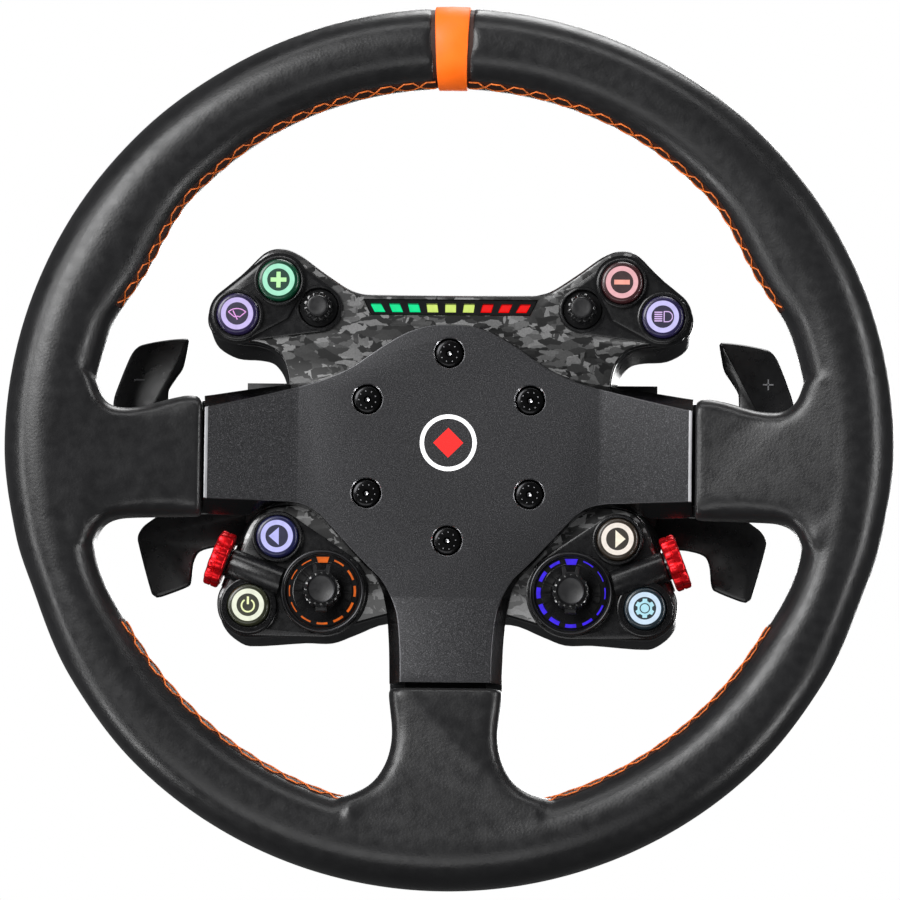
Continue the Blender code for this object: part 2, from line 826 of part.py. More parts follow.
def build_inserts(side, word):
    before = COLLAR_FRONT - 1.0
    after = INSERT_BACK + 1.0
    discs = [(side * x, z, COLLAR_RADII[name]) for name, (x, z) in UPPER_BUTTONS.items()]
    discs.append((side * STICK[0], STICK[1], STICK_WELL + 1.3))
    upper = prism(f"insert_upper_{word}", hull(discs), INSERT_FRONT, INSERT_BACK)
    discs = [(side * x, z, COLLAR_RADII[name]) for name, (x, z) in LOWER_BUTTONS.items()]
    discs.append((side * DIAL[0], DIAL[1], 16.9))
    lower = prism(f"insert_lower_{word}", hull(discs), INSERT_FRONT, INSERT_BACK)
    hump = arch(f"encoder_hump_{word}", side)
    join(lower, hump)
    for pod, buttons in ((upper, UPPER_BUTTONS), (lower, LOWER_BUTTONS)):
        for name, (x, z) in buttons.items():
            label = f"{name}_{word}"
            radius = COLLAR_RADII[name] - 0.5
            join(pod, drum(f"collar_{label}", side * x, z, radius, COLLAR_FRONT, INSERT_FRONT + 0.6))
        for name, (x, z) in buttons.items():
            label = f"{name}_{word}"
            steps = (
                (CAP_RADIUS + GAP, before),
                (CAP_RADIUS + GAP, INSERT_BACK - 1.0),
                (5.8, INSERT_BACK - 1.0),
                (5.8, after),
            )
            cut(pod, turned(f"cap_room_{label}", steps, (side * x, 0.0, z)))
    cut(upper, drum(f"stick_well_{word}", side * STICK[0], STICK[1], STICK_WELL, before, after))
    cut(lower, drum(f"bezel_room_{word}", side * DIAL[0], DIAL[1], 15.95, before - 4.0, after, 24))
    bore = ((ENCODER_RADIUS + GAP, 1.0), (ENCODER_RADIUS + GAP, -19.5))
    cut(lower, turned(f"encoder_bore_{word}", bore, wheel_centre(side), wheel_axis(side)))
    add_part(upper, (0.012, 0.012, 0.013), 0.0, 0.3)
    add_part(lower, (0.012, 0.012, 0.013), 0.0, 0.3)


GLOWS = {
    "plus_left": (0.35, 0.95, 0.6),
    "minus_right": (1.0, 0.45, 0.5),
    "wiper_left": (0.6, 0.5, 1.0),
    "beam_right": (0.6, 0.5, 1.0),
    "arrow_left": (0.45, 0.5, 1.0),
    "arrow_right": (1.0, 0.9, 0.6),
    "power_left": (1.0, 1.0, 0.75),
    "menu_right": (0.7, 0.9, 1.0),
}


def build_buttons(side, word):
    for name, (x, z) in (*UPPER_BUTTONS.items(), *LOWER_BUTTONS.items()):
        label = name if side < 0 else RIGHT_NAMES[name]
        head_back = CAP_FRONT + 4.0
        profile = (
            (CAP_RADIUS - 0.6, CAP_FRONT),
            (CAP_RADIUS, CAP_FRONT + 0.6),
            (CAP_RADIUS, head_back),
            (5.5, head_back),
            (5.5, FASCIA_BACK + 0.6),
            (6.3, FASCIA_BACK + 0.6),
            (6.3, FASCIA_BACK + 1.8),
        )
        key = turned(f"button_{label}_{word}", profile, (side * x, 0.0, z))
        add_part(key, GLOWS[f"{label}_{word}"], 0.0, 0.3, 1.0)


def build_stick(side, word):
    x = side * STICK[0]
    z = STICK[1]
    pivot = STICK_PIVOT_Y
    profile = ((2.9, pivot - 1.5), (5.2, pivot - 1.5), (5.2, pivot + 1.5), (2.9, pivot + 1.5))
    gimbal = turned(f"stick_gimbal_{word}", profile, (x, 0.0, z), loop=True)
    add_part(gimbal, (0.5, 0.5, 0.52), 1.0, 0.35)
    profile = (
        (4.0, pivot - 15.6),
        (4.0, pivot - 13.6),
        (1.8, pivot - 13.6),
        (1.8, pivot + 3.0),
    )
    stem = turned(f"stick_stem_{word}", profile, (x, 0.0, z))
    add_part(stem, (0.03, 0.03, 0.032), 0.0, 0.45)
    profile = ((2.1, pivot - 13.3), (5.5, pivot - 13.3), (5.5, pivot - 8.4), (2.1, pivot - 8.4))
    collar = turned(f"stick_collar_{word}", profile, (x, 0.0, z), segments=24, loop=True)
    for index in range(8):
        angle = 2 * math.pi * index / 8
        notch = drum(
            f"collar_notch_{word}_{index}",
            x + 6.0 * math.cos(angle),
            z + 6.0 * math.sin(angle),
            1.0,
            pivot - 15.0,
            pivot - 10.0,
            8,
        )
        cut(collar, notch)
    add_part(collar, (0.02, 0.02, 0.022), 0.0, 0.3)


def build_dial(side, word):
    x = side * DIAL[0]
    z = DIAL[1]
    centre = (x, 0.0, z)
    profile = (
        (4.0, INSERT_BACK),
        (15.6, INSERT_BACK),
        (15.6, INSERT_BACK - 4.2),
        (14.9, INSERT_BACK - 4.7),
        (13.7, INSERT_BACK - 4.7),
        (13.7, INSERT_BACK - 2.9),
        (12.0, INSERT_BACK - 2.9),
        (12.0, INSERT_BACK - 3.6),
        (6.5, INSERT_BACK - 1.2),
        (4.0, INSERT_BACK - 1.2),
    )
    bezel = turned(f"dial_bezel_{word}", profile, centre, segments=32, loop=True)
    add_part(bezel, (0.012, 0.012, 0.013), 0.0, 0.2)
    profile = (
        (12.3, INSERT_BACK - 3.2),
        (13.4, INSERT_BACK - 3.2),
        (13.4, INSERT_BACK - 4.1),
        (12.3, INSERT_BACK - 4.1),
    )
    ring = turned(f"dial_light_{word}", profile, centre, segments=32, loop=True)
    colour = (1.0, 0.3, 0.05) if side < 0 else (0.25, 0.3, 1.0)
    add_part(ring, colour, 0.0, 0.4, 3.0)
    profile = (
        (3.0, INSERT_BACK - 9.6),
        (3.0, FASCIA_BACK + 1.2),
        (5.5, FASCIA_BACK + 1.2),
        (5.5, FASCIA_BACK + 2.6),
    )
    shaft = turned(f"dial_shaft_{word}", profile, centre)
    add_part(shaft, (0.6, 0.6, 0.62), 1.0, 0.3)
    front = INSERT_BACK - 14.3
    profile = (
        (5.3, front),
        (5.3, front + 0.9),
        (6.8, front + 1.3),
        (6.8, INSERT_BACK - 2.8),
        (3.3, INSERT_BACK - 2.8),
        (3.3, INSERT_BACK - 9.9),
    )
    knob = turned(f"dial_knob_{word}", profile, centre, segments=24)
    low = (x - 2.6, front + 1.8, z + 4.5)
    high = (x + 2.6, front + 6.0, z + 8.7)
    join(knob, box(f"dial_pointer_{word}", low, high))
    low = (x - 2.1, front + 2.2, z - 8.0)
    high = (x + 2.1, front + 6.4, z - 4.5)
    join(knob, box(f"dial_tail_{word}", low, high))
    add_part(knob, (0.025, 0.025, 0.027), 0.0, 0.3)


def build_thumbwheel(side, word):
    centre = wheel_centre(side)
    axis = wheel_axis(side)
    profile = (
        (WHEEL_RADIUS - 1.0, WHEEL_HALF),
        (WHEEL_RADIUS, WHEEL_HALF - 0.8),
        (WHEEL_RADIUS, 0.8 - WHEEL_HALF),
        (WHEEL_RADIUS - 1.0, -WHEEL_HALF),
    )
    wheel = turned(f"thumbwheel_{word}", profile, centre, axis, segments=40, lobe=1.1)
    stub = ((2.0, 0.0), (2.0, -11.0))
    join(wheel, turned(f"wheel_stub_{word}", stub, centre, axis, segments=12))
    add_part(wheel, (0.75, 0.01, 0.015), 1.0, 0.25)
    profile = (
        (ENCODER_RADIUS, -19.2),
        (ENCODER_RADIUS, -4.0),
        (2.3, -4.0),
        (2.3, -11.6),
    )
    encoder = turned(f"encoder_{word}", profile, centre, axis)
    add_part(encoder, (0.05, 0.05, 0.055), 0.3, 0.4)


def standing(name, radius, bottom, top, foot):
    """Upright round bar about a foot point."""
    rings = []
    for height in (bottom, top):
        points = []
        for index in range(16):
            angle = 2 * math.pi * index / 16
            points.append((foot[0] + radius * math.cos(angle), foot[1] + radius * math.sin(angle), height))
        rings.append(points)
    return solid_from_rings(name, rings)


def build_paddles(side, word):
    x = side * PIN_X
    low_y = PIN_Y - 9.7
    ends = CARRIER_HALF_HEIGHT
    walls = (side * CARRIER_INNER, side * CARRIER_OUTER)
    carrier = box(f"paddle_carrier_{word}", (min(walls), low_y, -ends), (max(walls), low_y + 3.0, ends))
    lugs = ((22.0, ends - 0.2), (-11.4, -8.4), (-ends + 0.2, -22.0))
    for index, (bottom, top) in enumerate(lugs):
        low = (x - 6.0, low_y + 1.0, bottom)
        high = (x + 6.0, PIN_Y + KNUCKLE_RADIUS, top)
        join(carrier, box(f"carrier_lug_{word}_{index}", low, high))
    foot = (x, PIN_Y)
    cut(carrier, standing(f"carrier_pin_room_{word}", PIN_RADIUS + GAP, -40.0, 40.0, foot))
    add_part(carrier, (0.02, 0.02, 0.022), 0.2, 0.4)
    pin = standing(f"paddle_pin_{word}", PIN_RADIUS, -ends + 0.6, ends - 0.6, foot)
    add_part(pin, (0.6, 0.6, 0.62), 1.0, 0.25)
    spans = (("shift", SHIFT_PADDLE, -8.0, 21.7), ("clutch", CLUTCH_PADDLE, -21.6, -11.8))
    for kind, outline, bottom, top in spans:
        front = PIN_Y - BLADE_HALF
        back = PIN_Y + BLADE_HALF
        paddle = prism(f"{kind}_paddle_{word}", flipped(outline, side), front, back)
        join(paddle, standing(f"{kind}_knuckle_{word}", KNUCKLE_RADIUS, bottom, top, foot))
        cut(paddle, standing(f"{kind}_pin_room_{word}", PIN_RADIUS + GAP, -40.0, 40.0, foot))
        add_part(paddle, (0.015, 0.015, 0.016), 0.4, 0.3)


build_rim()
build_quick_release()
build_plate()
build_shell()
build_upper_fascia()
for side, word in ((-1, "left"), (1, "right")):
    build_lower_fascia(side, word)
    build_inserts(side, word)
    build_buttons(side, word)
    build_stick(side, word)
    build_dial(side, word)
    build_thumbwheel(side, word)
    build_paddles(side, word)
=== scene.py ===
"""Looks of the racing wheel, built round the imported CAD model.

Metres, Z up, driver at -Y; outlines in millimetres, as (x, z) pairs seen by the driver.
"""

import json
import math

import bmesh
import bpy
from mathutils import Matrix, Vector


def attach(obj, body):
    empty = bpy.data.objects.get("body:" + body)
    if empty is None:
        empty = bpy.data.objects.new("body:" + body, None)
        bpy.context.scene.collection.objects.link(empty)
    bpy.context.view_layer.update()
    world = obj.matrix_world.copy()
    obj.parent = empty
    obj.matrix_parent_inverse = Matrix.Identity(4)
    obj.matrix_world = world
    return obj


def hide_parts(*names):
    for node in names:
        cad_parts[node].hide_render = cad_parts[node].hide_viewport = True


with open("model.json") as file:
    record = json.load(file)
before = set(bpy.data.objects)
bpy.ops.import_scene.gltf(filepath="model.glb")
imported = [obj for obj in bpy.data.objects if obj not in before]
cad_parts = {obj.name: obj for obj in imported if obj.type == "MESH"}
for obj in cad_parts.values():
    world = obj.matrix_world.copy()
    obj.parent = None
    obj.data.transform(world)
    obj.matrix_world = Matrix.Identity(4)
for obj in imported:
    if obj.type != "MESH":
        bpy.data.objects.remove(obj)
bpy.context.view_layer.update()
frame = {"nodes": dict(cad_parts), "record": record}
nodes = frame["nodes"]
scene = bpy.context.scene

MM = 0.001
SIDES = ((-1, "left"), (1, "right"))

# Depths along Y in millimetres, as in the CAD model.
RIM_Y = -68.0
RIM_HALF_DEPTH = 16.5
PLATE_BACK = -66.7
PLATE_BEVEL = -68.4
PLATE_FRONT = -72.7
FASCIA_FRONT = -66.4
FASCIA_BACK = -62.4
SHELL_FRONT = -62.1
SHELL_BACK = -42.0
INSERT_BACK = -66.7
INSERT_FRONT = -67.9
COLLAR_FRONT = -70.9
CAP_FRONT = -73.4
FOLD_RISE = 3.6
FOLD_START = 56.0
FOLD_END = 92.0

# Grip: angle from the top in degrees, outer radius, inner radius.
RIM_STATIONS = (
    (0, 165.0, 134.9), (30, 165.0, 135.0), (45, 165.6, 134.4), (60, 165.9, 130.8), (72, 165.9, 134.0),
    (90, 165.8, 134.6), (102, 164.6, 136.0), (110, 163.4, 137.4), (122, 164.6, 135.9),
    (136, 165.5, 135.8), (180, 165.1, 135.8),
)
# The right-hand leather spoke, and the right half of the lower one.
SIDE_SPOKE = (
    (91.8, 17.9), (96.0, 18.8), (103.5, 17.4), (114.7, 14.2), (122.5, 13.7), (126.4, 15.0),
    (128.7, 17.1), (130.3, 20.0), (131.7, 24.2), (134.5, 29.0), (150.0, 32.0), (150.0, -41.0),
    (134.5, -39.0), (131.6, -35.8), (130.4, -32.9), (128.9, -30.3), (127.0, -28.7), (124.4, -27.6),
    (120.5, -26.9), (102.6, -26.5), (91.8, -26.2),
)
LOWER_SPOKE_HALF = (
    (21.3, -90.0), (20.6, -97.0), (19.7, -105.0), (19.9, -110.5), (21.1, -116.0), (23.0, -120.3),
    (25.5, -124.0), (28.8, -126.9), (33.0, -129.0), (39.0, -131.0), (39.0, -150.0),
)
# Right half of the hub plate: its outer edge, and its front face inside the bevel.
PLATE_EDGE = (
    (5.0, 46.1), (10.5, 45.1), (16.5, 43.0), (23.2, 39.2), (29.9, 34.7), (36.5, 30.2), (43.2, 27.0),
    (50.2, 24.9), (60.0, 23.2), (75.0, 21.0), (87.0, 19.0), (91.0, 18.4), (91.0, -25.3), (87.0, -25.8),
    (75.0, -25.6), (66.0, -22.6), (58.5, -21.6), (53.0, -22.9), (48.6, -25.4), (45.4, -28.4),
    (35.8, -38.9), (29.6, -45.6), (26.6, -48.9), (24.4, -52.8), (23.0, -58.0), (22.0, -64.0),
    (21.2, -75.0), (20.8, -88.3),
)
PLATE_FACE = (
    (4.9, 45.5), (10.3, 44.5), (16.2, 42.4), (22.9, 38.6), (29.5, 34.1), (36.2, 29.5), (43.0, 26.2),
    (50.0, 23.6), (60.0, 20.9), (75.0, 17.2), (87.0, 14.4), (90.6, 13.6), (90.6, -19.9), (87.0, -20.1),
    (75.0, -20.4), (65.6, -20.8), (58.3, -21.0), (52.6, -22.3), (48.1, -25.0), (45.0, -28.0),
    (35.4, -38.5), (28.9, -45.2), (24.6, -49.4), (21.2, -55.0), (18.9, -60.5), (17.8, -66.0),
    (17.0, -76.0), (16.7, -88.0),
)
# Right-hand pods, first at the carbon sheets and then at the back of the housing.
UPPER_POD = (
    (30.5, 57.5), (36.0, 58.6), (40.0, 60.6), (48.0, 66.0), (56.0, 71.8), (61.5, 74.2), (66.5, 74.2),
    (70.5, 72.2), (76.5, 66.2), (83.0, 60.2), (87.6, 55.8), (90.3, 50.5), (90.3, 45.5), (87.5, 41.8),
    (79.5, 39.6), (71.5, 38.7), (66.0, 36.6), (62.5, 32.8), (61.0, 29.0), (60.2, 24.0),
)
LOWER_POD = (
    (64.5, -20.5), (68.5, -23.2), (72.9, -27.3), (75.6, -32.2), (77.1, -36.7), (80.0, -43.5),
    (83.0, -50.3), (85.2, -55.0), (85.6, -59.5), (84.5, -64.0), (81.3, -68.0), (75.0, -71.0),
    (53.0, -69.8), (46.5, -69.1), (35.0, -66.1), (23.0, -62.7),
)
UPPER_POD_REAR = (
    (30.5, 56.3), (36.0, 57.4), (40.0, 59.4), (48.0, 64.8), (56.0, 70.6), (61.5, 73.0), (66.5, 73.0),
    (70.7, 71.0), (76.8, 65.0), (83.3, 59.0), (87.9, 54.6), (90.5, 49.0), (90.2, 44.4), (87.6, 39.0),
    (80.5, 35.0), (72.0, 34.3), (67.2, 33.2), (64.2, 30.2), (62.4, 26.4), (61.6, 22.0),
)
LOWER_POD_REAR = (
    (66.4, -20.8), (71.0, -22.4), (76.0, -26.6), (78.6, -32.4), (79.6, -38.3), (81.0, -45.1),
    (83.3, -51.9), (85.4, -56.6), (85.7, -61.2), (84.4, -65.8), (80.8, -70.1), (74.5, -73.2),
    (53.5, -71.9), (43.5, -71.9), (35.0, -68.8), (23.0, -64.4),
)
# Right-hand paddles.
SHIFT_PADDLE = (
    (66.0, 16.0), (90.0, 16.0), (107.5, 20.0), (107.1, 24.8), (104.5, 29.2), (101.9, 33.2),
    (100.7, 38.4), (99.9, 43.2), (100.9, 44.1), (108.9, 43.4), (117.7, 41.6), (120.4, 39.8),
    (122.4, 36.6), (126.1, 27.2), (128.3, 19.5), (126.9, 6.0), (119.9, -4.0), (100.9, -7.9),
    (66.0, -7.9),
)
CLUTCH_PADDLE = (
    (66.0, -11.9), (96.0, -13.0), (104.0, -18.5), (115.5, -26.5), (118.0, -30.0), (118.2, -33.0),
    (112.8, -52.3), (110.8, -54.0), (108.5, -53.5), (98.8, -49.6), (97.6, -47.0), (96.9, -40.5),
    (94.8, -36.5), (88.0, -34.6), (80.5, -34.0), (75.0, -30.4), (71.0, -22.6), (66.0, -21.4),
)
# Places of the right-hand controls, and the radii of the rings round the keys.
UPPER_BUTTONS = {"plus": (64.0, 62.0), "wiper": (79.3, 49.2)}
LOWER_BUTTONS = {"arrow": (63.3, -33.9), "power": (73.7, -59.6)}
RIGHT_NAMES = {"plus": "minus", "wiper": "beam", "arrow": "arrow", "power": "menu"}
COLLAR_RADII = {"plus": 9.2, "wiper": 9.5, "arrow": 9.3, "power": 10.4}
STICK = (49.2, 52.2)
STICK_PIVOT_Y = -60.0
STICK_WELL = 7.6
DIAL = (46.2, -54.0)
WHEEL_CENTRE = (84.7, -67.2, -42.2)
WHEEL_TILT = math.radians(21.0)
WHEEL_BORE = 3.8
WHEEL_BORE_END = -19.5
BOLT_CIRCLE = 35.0
BOLTS = 6
DIMPLES = 9
PIN_X = 66.0
PIN_Y = -32.0
# Half width of the plate's front face, and where the strip of painted highlight at each arm's end starts.
PLATE_FACE_END = 90.6
END_STRIP = 89.4
# Places of the plate's gentle fold, cut into it so that it can bend there.
FOLD_CUTS = (53, 56, 60, 66, 74, 82, 88, END_STRIP)
# Edges sharper than these angles, in degrees, stay crisp on moulded and on milled pieces.
SMOOTH = 34.0
PLATE_SMOOTH = 11.0
# How far a printed line or symbol reaches into the surface below it.
PRINT = 0.12
# Radii of the holes for a key, its shaft, a stick, a dial, its shaft, the hub plate and the neck.
KEY_HOLE = 8.0
SHAFT_HOLE = 5.8
STICK_HOLE = 4.6
DIAL_HOLE = 15.95
DIAL_SHAFT_HOLE = 4.0
HUB_HOLE = 44.3
NECK_HOLE = 29.0
# Depths spanned by the tools that cut the fascias, the inserts and the back of the housing.
FASCIA_CUT = (-68.0, -60.0)
INSERT_CUT = (-80.0, -60.0)
NECK_CUT = (-46.5, -40.0)
# Points closer than this to a depth lie on it.
TOUCH = 1e-4
# Teeth, notches and scallops round a stick, a dial, a thumbwheel and the release sleeve.
STICK_TEETH = 12
DIAL_NOTCHES = 16
WHEEL_SCALLOPS = 10
SLEEVE_SCALLOPS = 8
# Fine lines turned into the front of a collar: the first radius, the width of one, and the pitch.
LINE_START = 8.6
LINE_WIDTH = 0.24
LINE_PITCH = 0.36
# Half the angle of one lit dash round a dial, in degrees.
DASH_HALF = 9.5


# ---------------------------------------------------------------- materials


def linear(red, green, blue):
    """Linear colour of a display colour given in 0 to 255."""
    return tuple((value / 255.0) ** 2.2 for value in (red, green, blue))


class Look:
    """A Principled material with a few procedural layers in object space."""

    def __init__(self, name, colour, metallic=0.0, roughness=0.5, coat=0.0, specular=0.5):
        self.material = bpy.data.materials.new(name)
        self.material.use_nodes = True
        self.nodes = self.material.node_tree.nodes
        self.links = self.material.node_tree.links
        self.shader = self.nodes["Principled BSDF"]
        self.set("Base Color", (*colour, 1.0))
        self.set("Metallic", metallic)
        self.set("Roughness", roughness)
        self.set("Coat Weight", coat)
        self.set("Coat Roughness", 0.08)
        self.set("Specular IOR Level", specular)
        self.colour = colour
        self.space = self.nodes.new("ShaderNodeTexCoord").outputs["Object"]
        self.height = None

    def set(self, name, value):
        self.shader.inputs[name].default_value = value

    def step(self, kind, **values):
        """New node whose named inputs are linked to a socket or set to a value."""
        made = self.nodes.new(f"ShaderNode{kind}")
        for name, value in values.items():
            if isinstance(value, bpy.types.NodeSocket):
                self.links.new(value, made.inputs[name])
            else:
                made.inputs[name].default_value = value
        return made

    def mapped(self, scale, turn=(0.0, 0.0, 0.0)):
        return self.step("Mapping", Scale=scale, Rotation=turn, Vector=self.space).outputs["Vector"]

    def noise(self, scale, detail=3.0, space=None):
        step = self.step("TexNoise", Scale=scale, Detail=detail, Vector=space or self.space)
        return step.outputs["Fac"]

    def cells(self, scale, feature="F1", distance="EUCLIDEAN", space=None, output="Distance"):
        step = self.step("TexVoronoi", Scale=scale, Vector=space or self.space)
        step.feature = feature
        step.distance = distance
        return step.outputs[output]

    def ramp(self, value, stops, constant=False):
        step = self.step("ValToRGB", Fac=value)
        step.color_ramp.interpolation = "CONSTANT" if constant else "LINEAR"
        band = step.color_ramp.elements
        while len(band) < len(stops):
            band.new(0.5)
        for element, (place, colour) in zip(band, stops):
            element.position = place
            if isinstance(colour, float):
                colour = (colour, colour, colour)
            element.color = (*colour, 1.0)
        return step.outputs["Color"]

    def mix(self, share, first, second, blend="MIX"):
        """Blend of two colours; the node's own inputs 0, 6 and 7 hold the share and the colours."""
        step = self.nodes.new("ShaderNodeMix")
        step.data_type = "RGBA"
        step.blend_type = blend
        for place, value in ((0, share), (6, first), (7, second)):
            socket = step.inputs[place]
            if isinstance(value, bpy.types.NodeSocket):
                self.links.new(value, socket)
            elif place == 0:
                socket.default_value = value
            else:
                socket.default_value = (*value, 1.0)
        return step.outputs[2]

    def paint(self, value, socket="Base Color"):
        self.links.new(value, self.shader.inputs[socket])

    def vary(self, scale, low, high, detail=4.0):
        """Base colour that drifts between a darker and a lighter share of itself."""
        dark = tuple(c * low for c in self.colour)
        light = tuple(c * high for c in self.colour)
        self.paint(self.ramp(self.noise(scale, detail), ((0.3, dark), (0.7, light))))

    def rough(self, scale, low, high, detail=3.0):
        self.paint(self.ramp(self.noise(scale, detail), ((0.3, low), (0.7, high))), "Roughness")

    def bump(self, value, strength, distance=0.1):
        step = self.step("Bump", Strength=strength, Distance=distance * MM, Height=value)
        if self.height is not None:
            self.links.new(self.height, step.inputs["Normal"])
        self.height = step.outputs["Normal"]
        self.paint(self.height, "Normal")

    def glow(self, colour, strength):
        self.set("Emission Color", (*colour, 1.0))
        self.set("Emission Strength", strength)


def leather(name, colour, roughness, glow=0.0):
    look = Look(name, colour, roughness=roughness, specular=0.45)
    # The glow is painted light: it makes the leather brighter than the lamps alone light it.
    if glow:
        look.glow(colour, glow)
    look.vary(60.0, 0.85, 1.15)
    look.rough(240.0, roughness - 0.05, roughness + 0.06)
    grain = look.cells(1100.0, feature="SMOOTH_F1")
    look.bump(grain, 0.24, 0.14)
    look.bump(look.noise(420.0, 5.0), 0.06, 0.2)
    look.bump(look.noise(40.0, 2.0), 0.06, 1.0)
    look.set("Sheen Weight", 0.06)
    look.set("Sheen Roughness", 0.4)
    return look.material


def powder_coat():
    look = Look("plate_coat", (0.030, 0.030, 0.032), metallic=0.5, roughness=0.4, specular=0.5)
    speck = look.noise(2600.0, 2.0)
    drift = look.noise(14.0, 2.0)
    tones = ((0.3, (0.020, 0.020, 0.0215)), (0.55, (0.042, 0.042, 0.045)), (0.78, (0.14, 0.14, 0.147)))
    fleck = look.ramp(speck, tones)
    look.paint(look.mix(1.0, fleck, look.ramp(drift, ((0.3, 0.88), (0.7, 1.12))), "MULTIPLY"))
    look.rough(1400.0, 0.28, 0.42)
    look.bump(look.noise(1800.0, 3.0), 0.22, 0.05)
    return look.material


def plain(name, colour, metallic=0.0, roughness=0.4, grain=900.0, depth=0.15, coat=0.0, spread=0.2):
    look = Look(name, colour, metallic, roughness, coat)
    look.vary(grain * 0.3, 1.0 - spread, 1.0 + spread)
    look.rough(grain * 0.4, roughness * 0.85, roughness * 1.15)
    look.bump(look.noise(grain, 3.0), depth, 0.05)
    return look.material


def forged_carbon():
    """Chopped fibre flakes in random directions under a clear gloss."""
    look = Look("forged_carbon", (0.02, 0.02, 0.021), metallic=0.2, roughness=0.38, coat=0.8)
    result = (0.006, 0.006, 0.0065)
    # Size, stretch, turn and cover of each layer of flakes, from the bottom up.
    layers = (
        (230.0, (1.0, 1.0, 0.55), 0.35, 0.36), (330.0, (0.5, 1.0, 1.0), -0.55, 0.42),
        (300.0, (1.0, 1.0, 0.45), 1.1, 0.46), (430.0, (0.5, 1.0, 1.0), 0.2, 0.52),
        (380.0, (0.42, 1.0, 1.0), -1.0, 0.56),
    )
    drift = look.noise(330.0, 2.0)
    for scale, stretch, turn, cover in layers:
        bend = look.nodes.new("ShaderNodeVectorMath")
        bend.operation = "MULTIPLY_ADD"
        bend.inputs[1].default_value = (0.0016, 0.0, 0.0016)
        look.links.new(drift, bend.inputs[0])
        look.links.new(look.mapped(stretch, (0.0, turn, 0.0)), bend.inputs[2])
        tone = look.cells(scale, distance="CHEBYCHEV", space=bend.outputs["Vector"], output="Color")
        split = look.step("SeparateColor", Color=tone)
        shown = look.ramp(split.outputs["Red"], ((0.0, 0.0), (cover, 1.0)), constant=True)
        tones = ((0.0, 0.004), (0.34, 0.012), (0.52, 0.035), (0.70, 0.09), (0.88, 0.2))
        result = look.mix(shown, result, look.ramp(split.outputs["Green"], tones))
    strands = look.ramp(look.noise(1400.0, 2.0), ((0.3, 0.55), (0.7, 1.5)))
    result = look.mix(0.35, result, look.mix(1.0, result, strands, "MULTIPLY"))
    look.paint(result)
    look.bump(look.noise(700.0, 2.0), 0.03, 0.05)
    return look.material


def lit(name, colour, strength=1.0, spread=0.08):
    """Backlit translucent plastic, a little uneven."""
    look = Look(name, tuple(c * 0.04 for c in colour), roughness=0.45, specular=0.25)
    look.glow(colour, strength)
    cloud = look.noise(500.0, 3.0)
    dim = tuple(c * (1.0 - spread) for c in colour)
    bright = tuple(min(1.0, c * (1.0 + spread)) for c in colour)
    look.paint(look.ramp(cloud, ((0.3, dim), (0.7, bright))), "Emission Color")
    return look.material


def anodised():
    look = Look("red_anodised", (0.72, 0.006, 0.012), metallic=0.75, roughness=0.3)
    look.vary(60.0, 0.92, 1.08)
    look.rough(200.0, 0.26, 0.33)
    look.bump(look.noise(1500.0, 3.0), 0.03, 0.04)
    return look.material


def turned_metal(name, colour, roughness, rings=True):
    look = Look(name, colour, metallic=1.0, roughness=roughness)
    look.vary(30.0, 0.94, 1.05)
    look.rough(90.0, roughness * 0.92, roughness * 1.1)
    look.bump(look.noise(1600.0, 3.0, space=look.mapped((0.12, 1.0, 0.12))), 0.12 if rings else 0.04, 0.04)
    return look.material


def ink(name, colour):
    look = Look(name, colour, roughness=0.4)
    look.vary(250.0, 0.96, 1.04)
    # Painted light: the print glows a little, so it reads brighter than the lamps make it.
    look.glow(colour, 0.22)
    look.bump(look.noise(900.0, 3.0), 0.05, 0.05)
    return look.material


def board_look():
    look = Look("board_green", (0.01, 0.09, 0.035), roughness=0.4, coat=0.4)
    tracks = look.cells(260.0, distance="MANHATTAN")
    tones = ((0.0, (0.5, 0.4, 0.12)), (0.06, (0.012, 0.12, 0.045)), (0.5, (0.006, 0.07, 0.028)))
    look.paint(look.ramp(tracks, tones))
    look.rough(300.0, 0.3, 0.5)
    return look.material


LEATHER = leather("rim_leather", (0.0105, 0.0105, 0.0112), 0.33)
# The orange marker glows a little: painted light that brightens it, above all on its underside.
ORANGE = leather("marker_leather", (1.0, 0.15, 0.002), 0.55, 0.22)
COAT = powder_coat()
# Bright metals: painted highlights on the plate's edges and round its bolts.
HIGHLIGHT_METAL = turned_metal("painted_highlight_metal", (0.5, 0.5, 0.52), 0.22, rings=False)
RIM_LINE = turned_metal("rim_line", (0.035, 0.035, 0.037), 0.3, rings=False)
END_HIGHLIGHT = turned_metal("end_painted_highlight", (0.55, 0.55, 0.57), 0.42, rings=False)
BEVEL = turned_metal("plate_bevel", (0.075, 0.075, 0.078), 0.21, rings=False)
CARBON = forged_carbon()
POD = plain("pod_black", (0.006, 0.006, 0.0066), roughness=0.27, grain=1300.0, depth=0.3)
GLOSS = plain("gloss_black", (0.008, 0.008, 0.0085), roughness=0.16, grain=600.0, depth=0.03, coat=0.3)
SHELL = plain("shell_black", (0.010, 0.010, 0.0108), roughness=0.3, grain=700.0, depth=0.12)
BOLT = plain("bolt_black", (0.02, 0.02, 0.021), metallic=0.9, roughness=0.2, grain=500.0, depth=0.05)
PADDLE = plain("paddle_black", (0.007, 0.007, 0.0076), metallic=0.1, roughness=0.3, grain=1100.0, depth=0.12)
CARRIER = plain("carrier_black", (0.008, 0.008, 0.009), metallic=0.2, roughness=0.42, grain=800.0, depth=0.2)
KNOB = plain("knob_black", (0.008, 0.008, 0.0088), roughness=0.27, grain=1200.0, depth=0.15)
CAP_TOP = plain("knob_cap", (0.010, 0.010, 0.0108), roughness=0.4, grain=1500.0, depth=0.2)
RED = anodised()
STEEL = turned_metal("steel", (0.55, 0.55, 0.57), 0.28)
CORE = turned_metal("satin_core", (0.014, 0.014, 0.015), 0.45, rings=False)
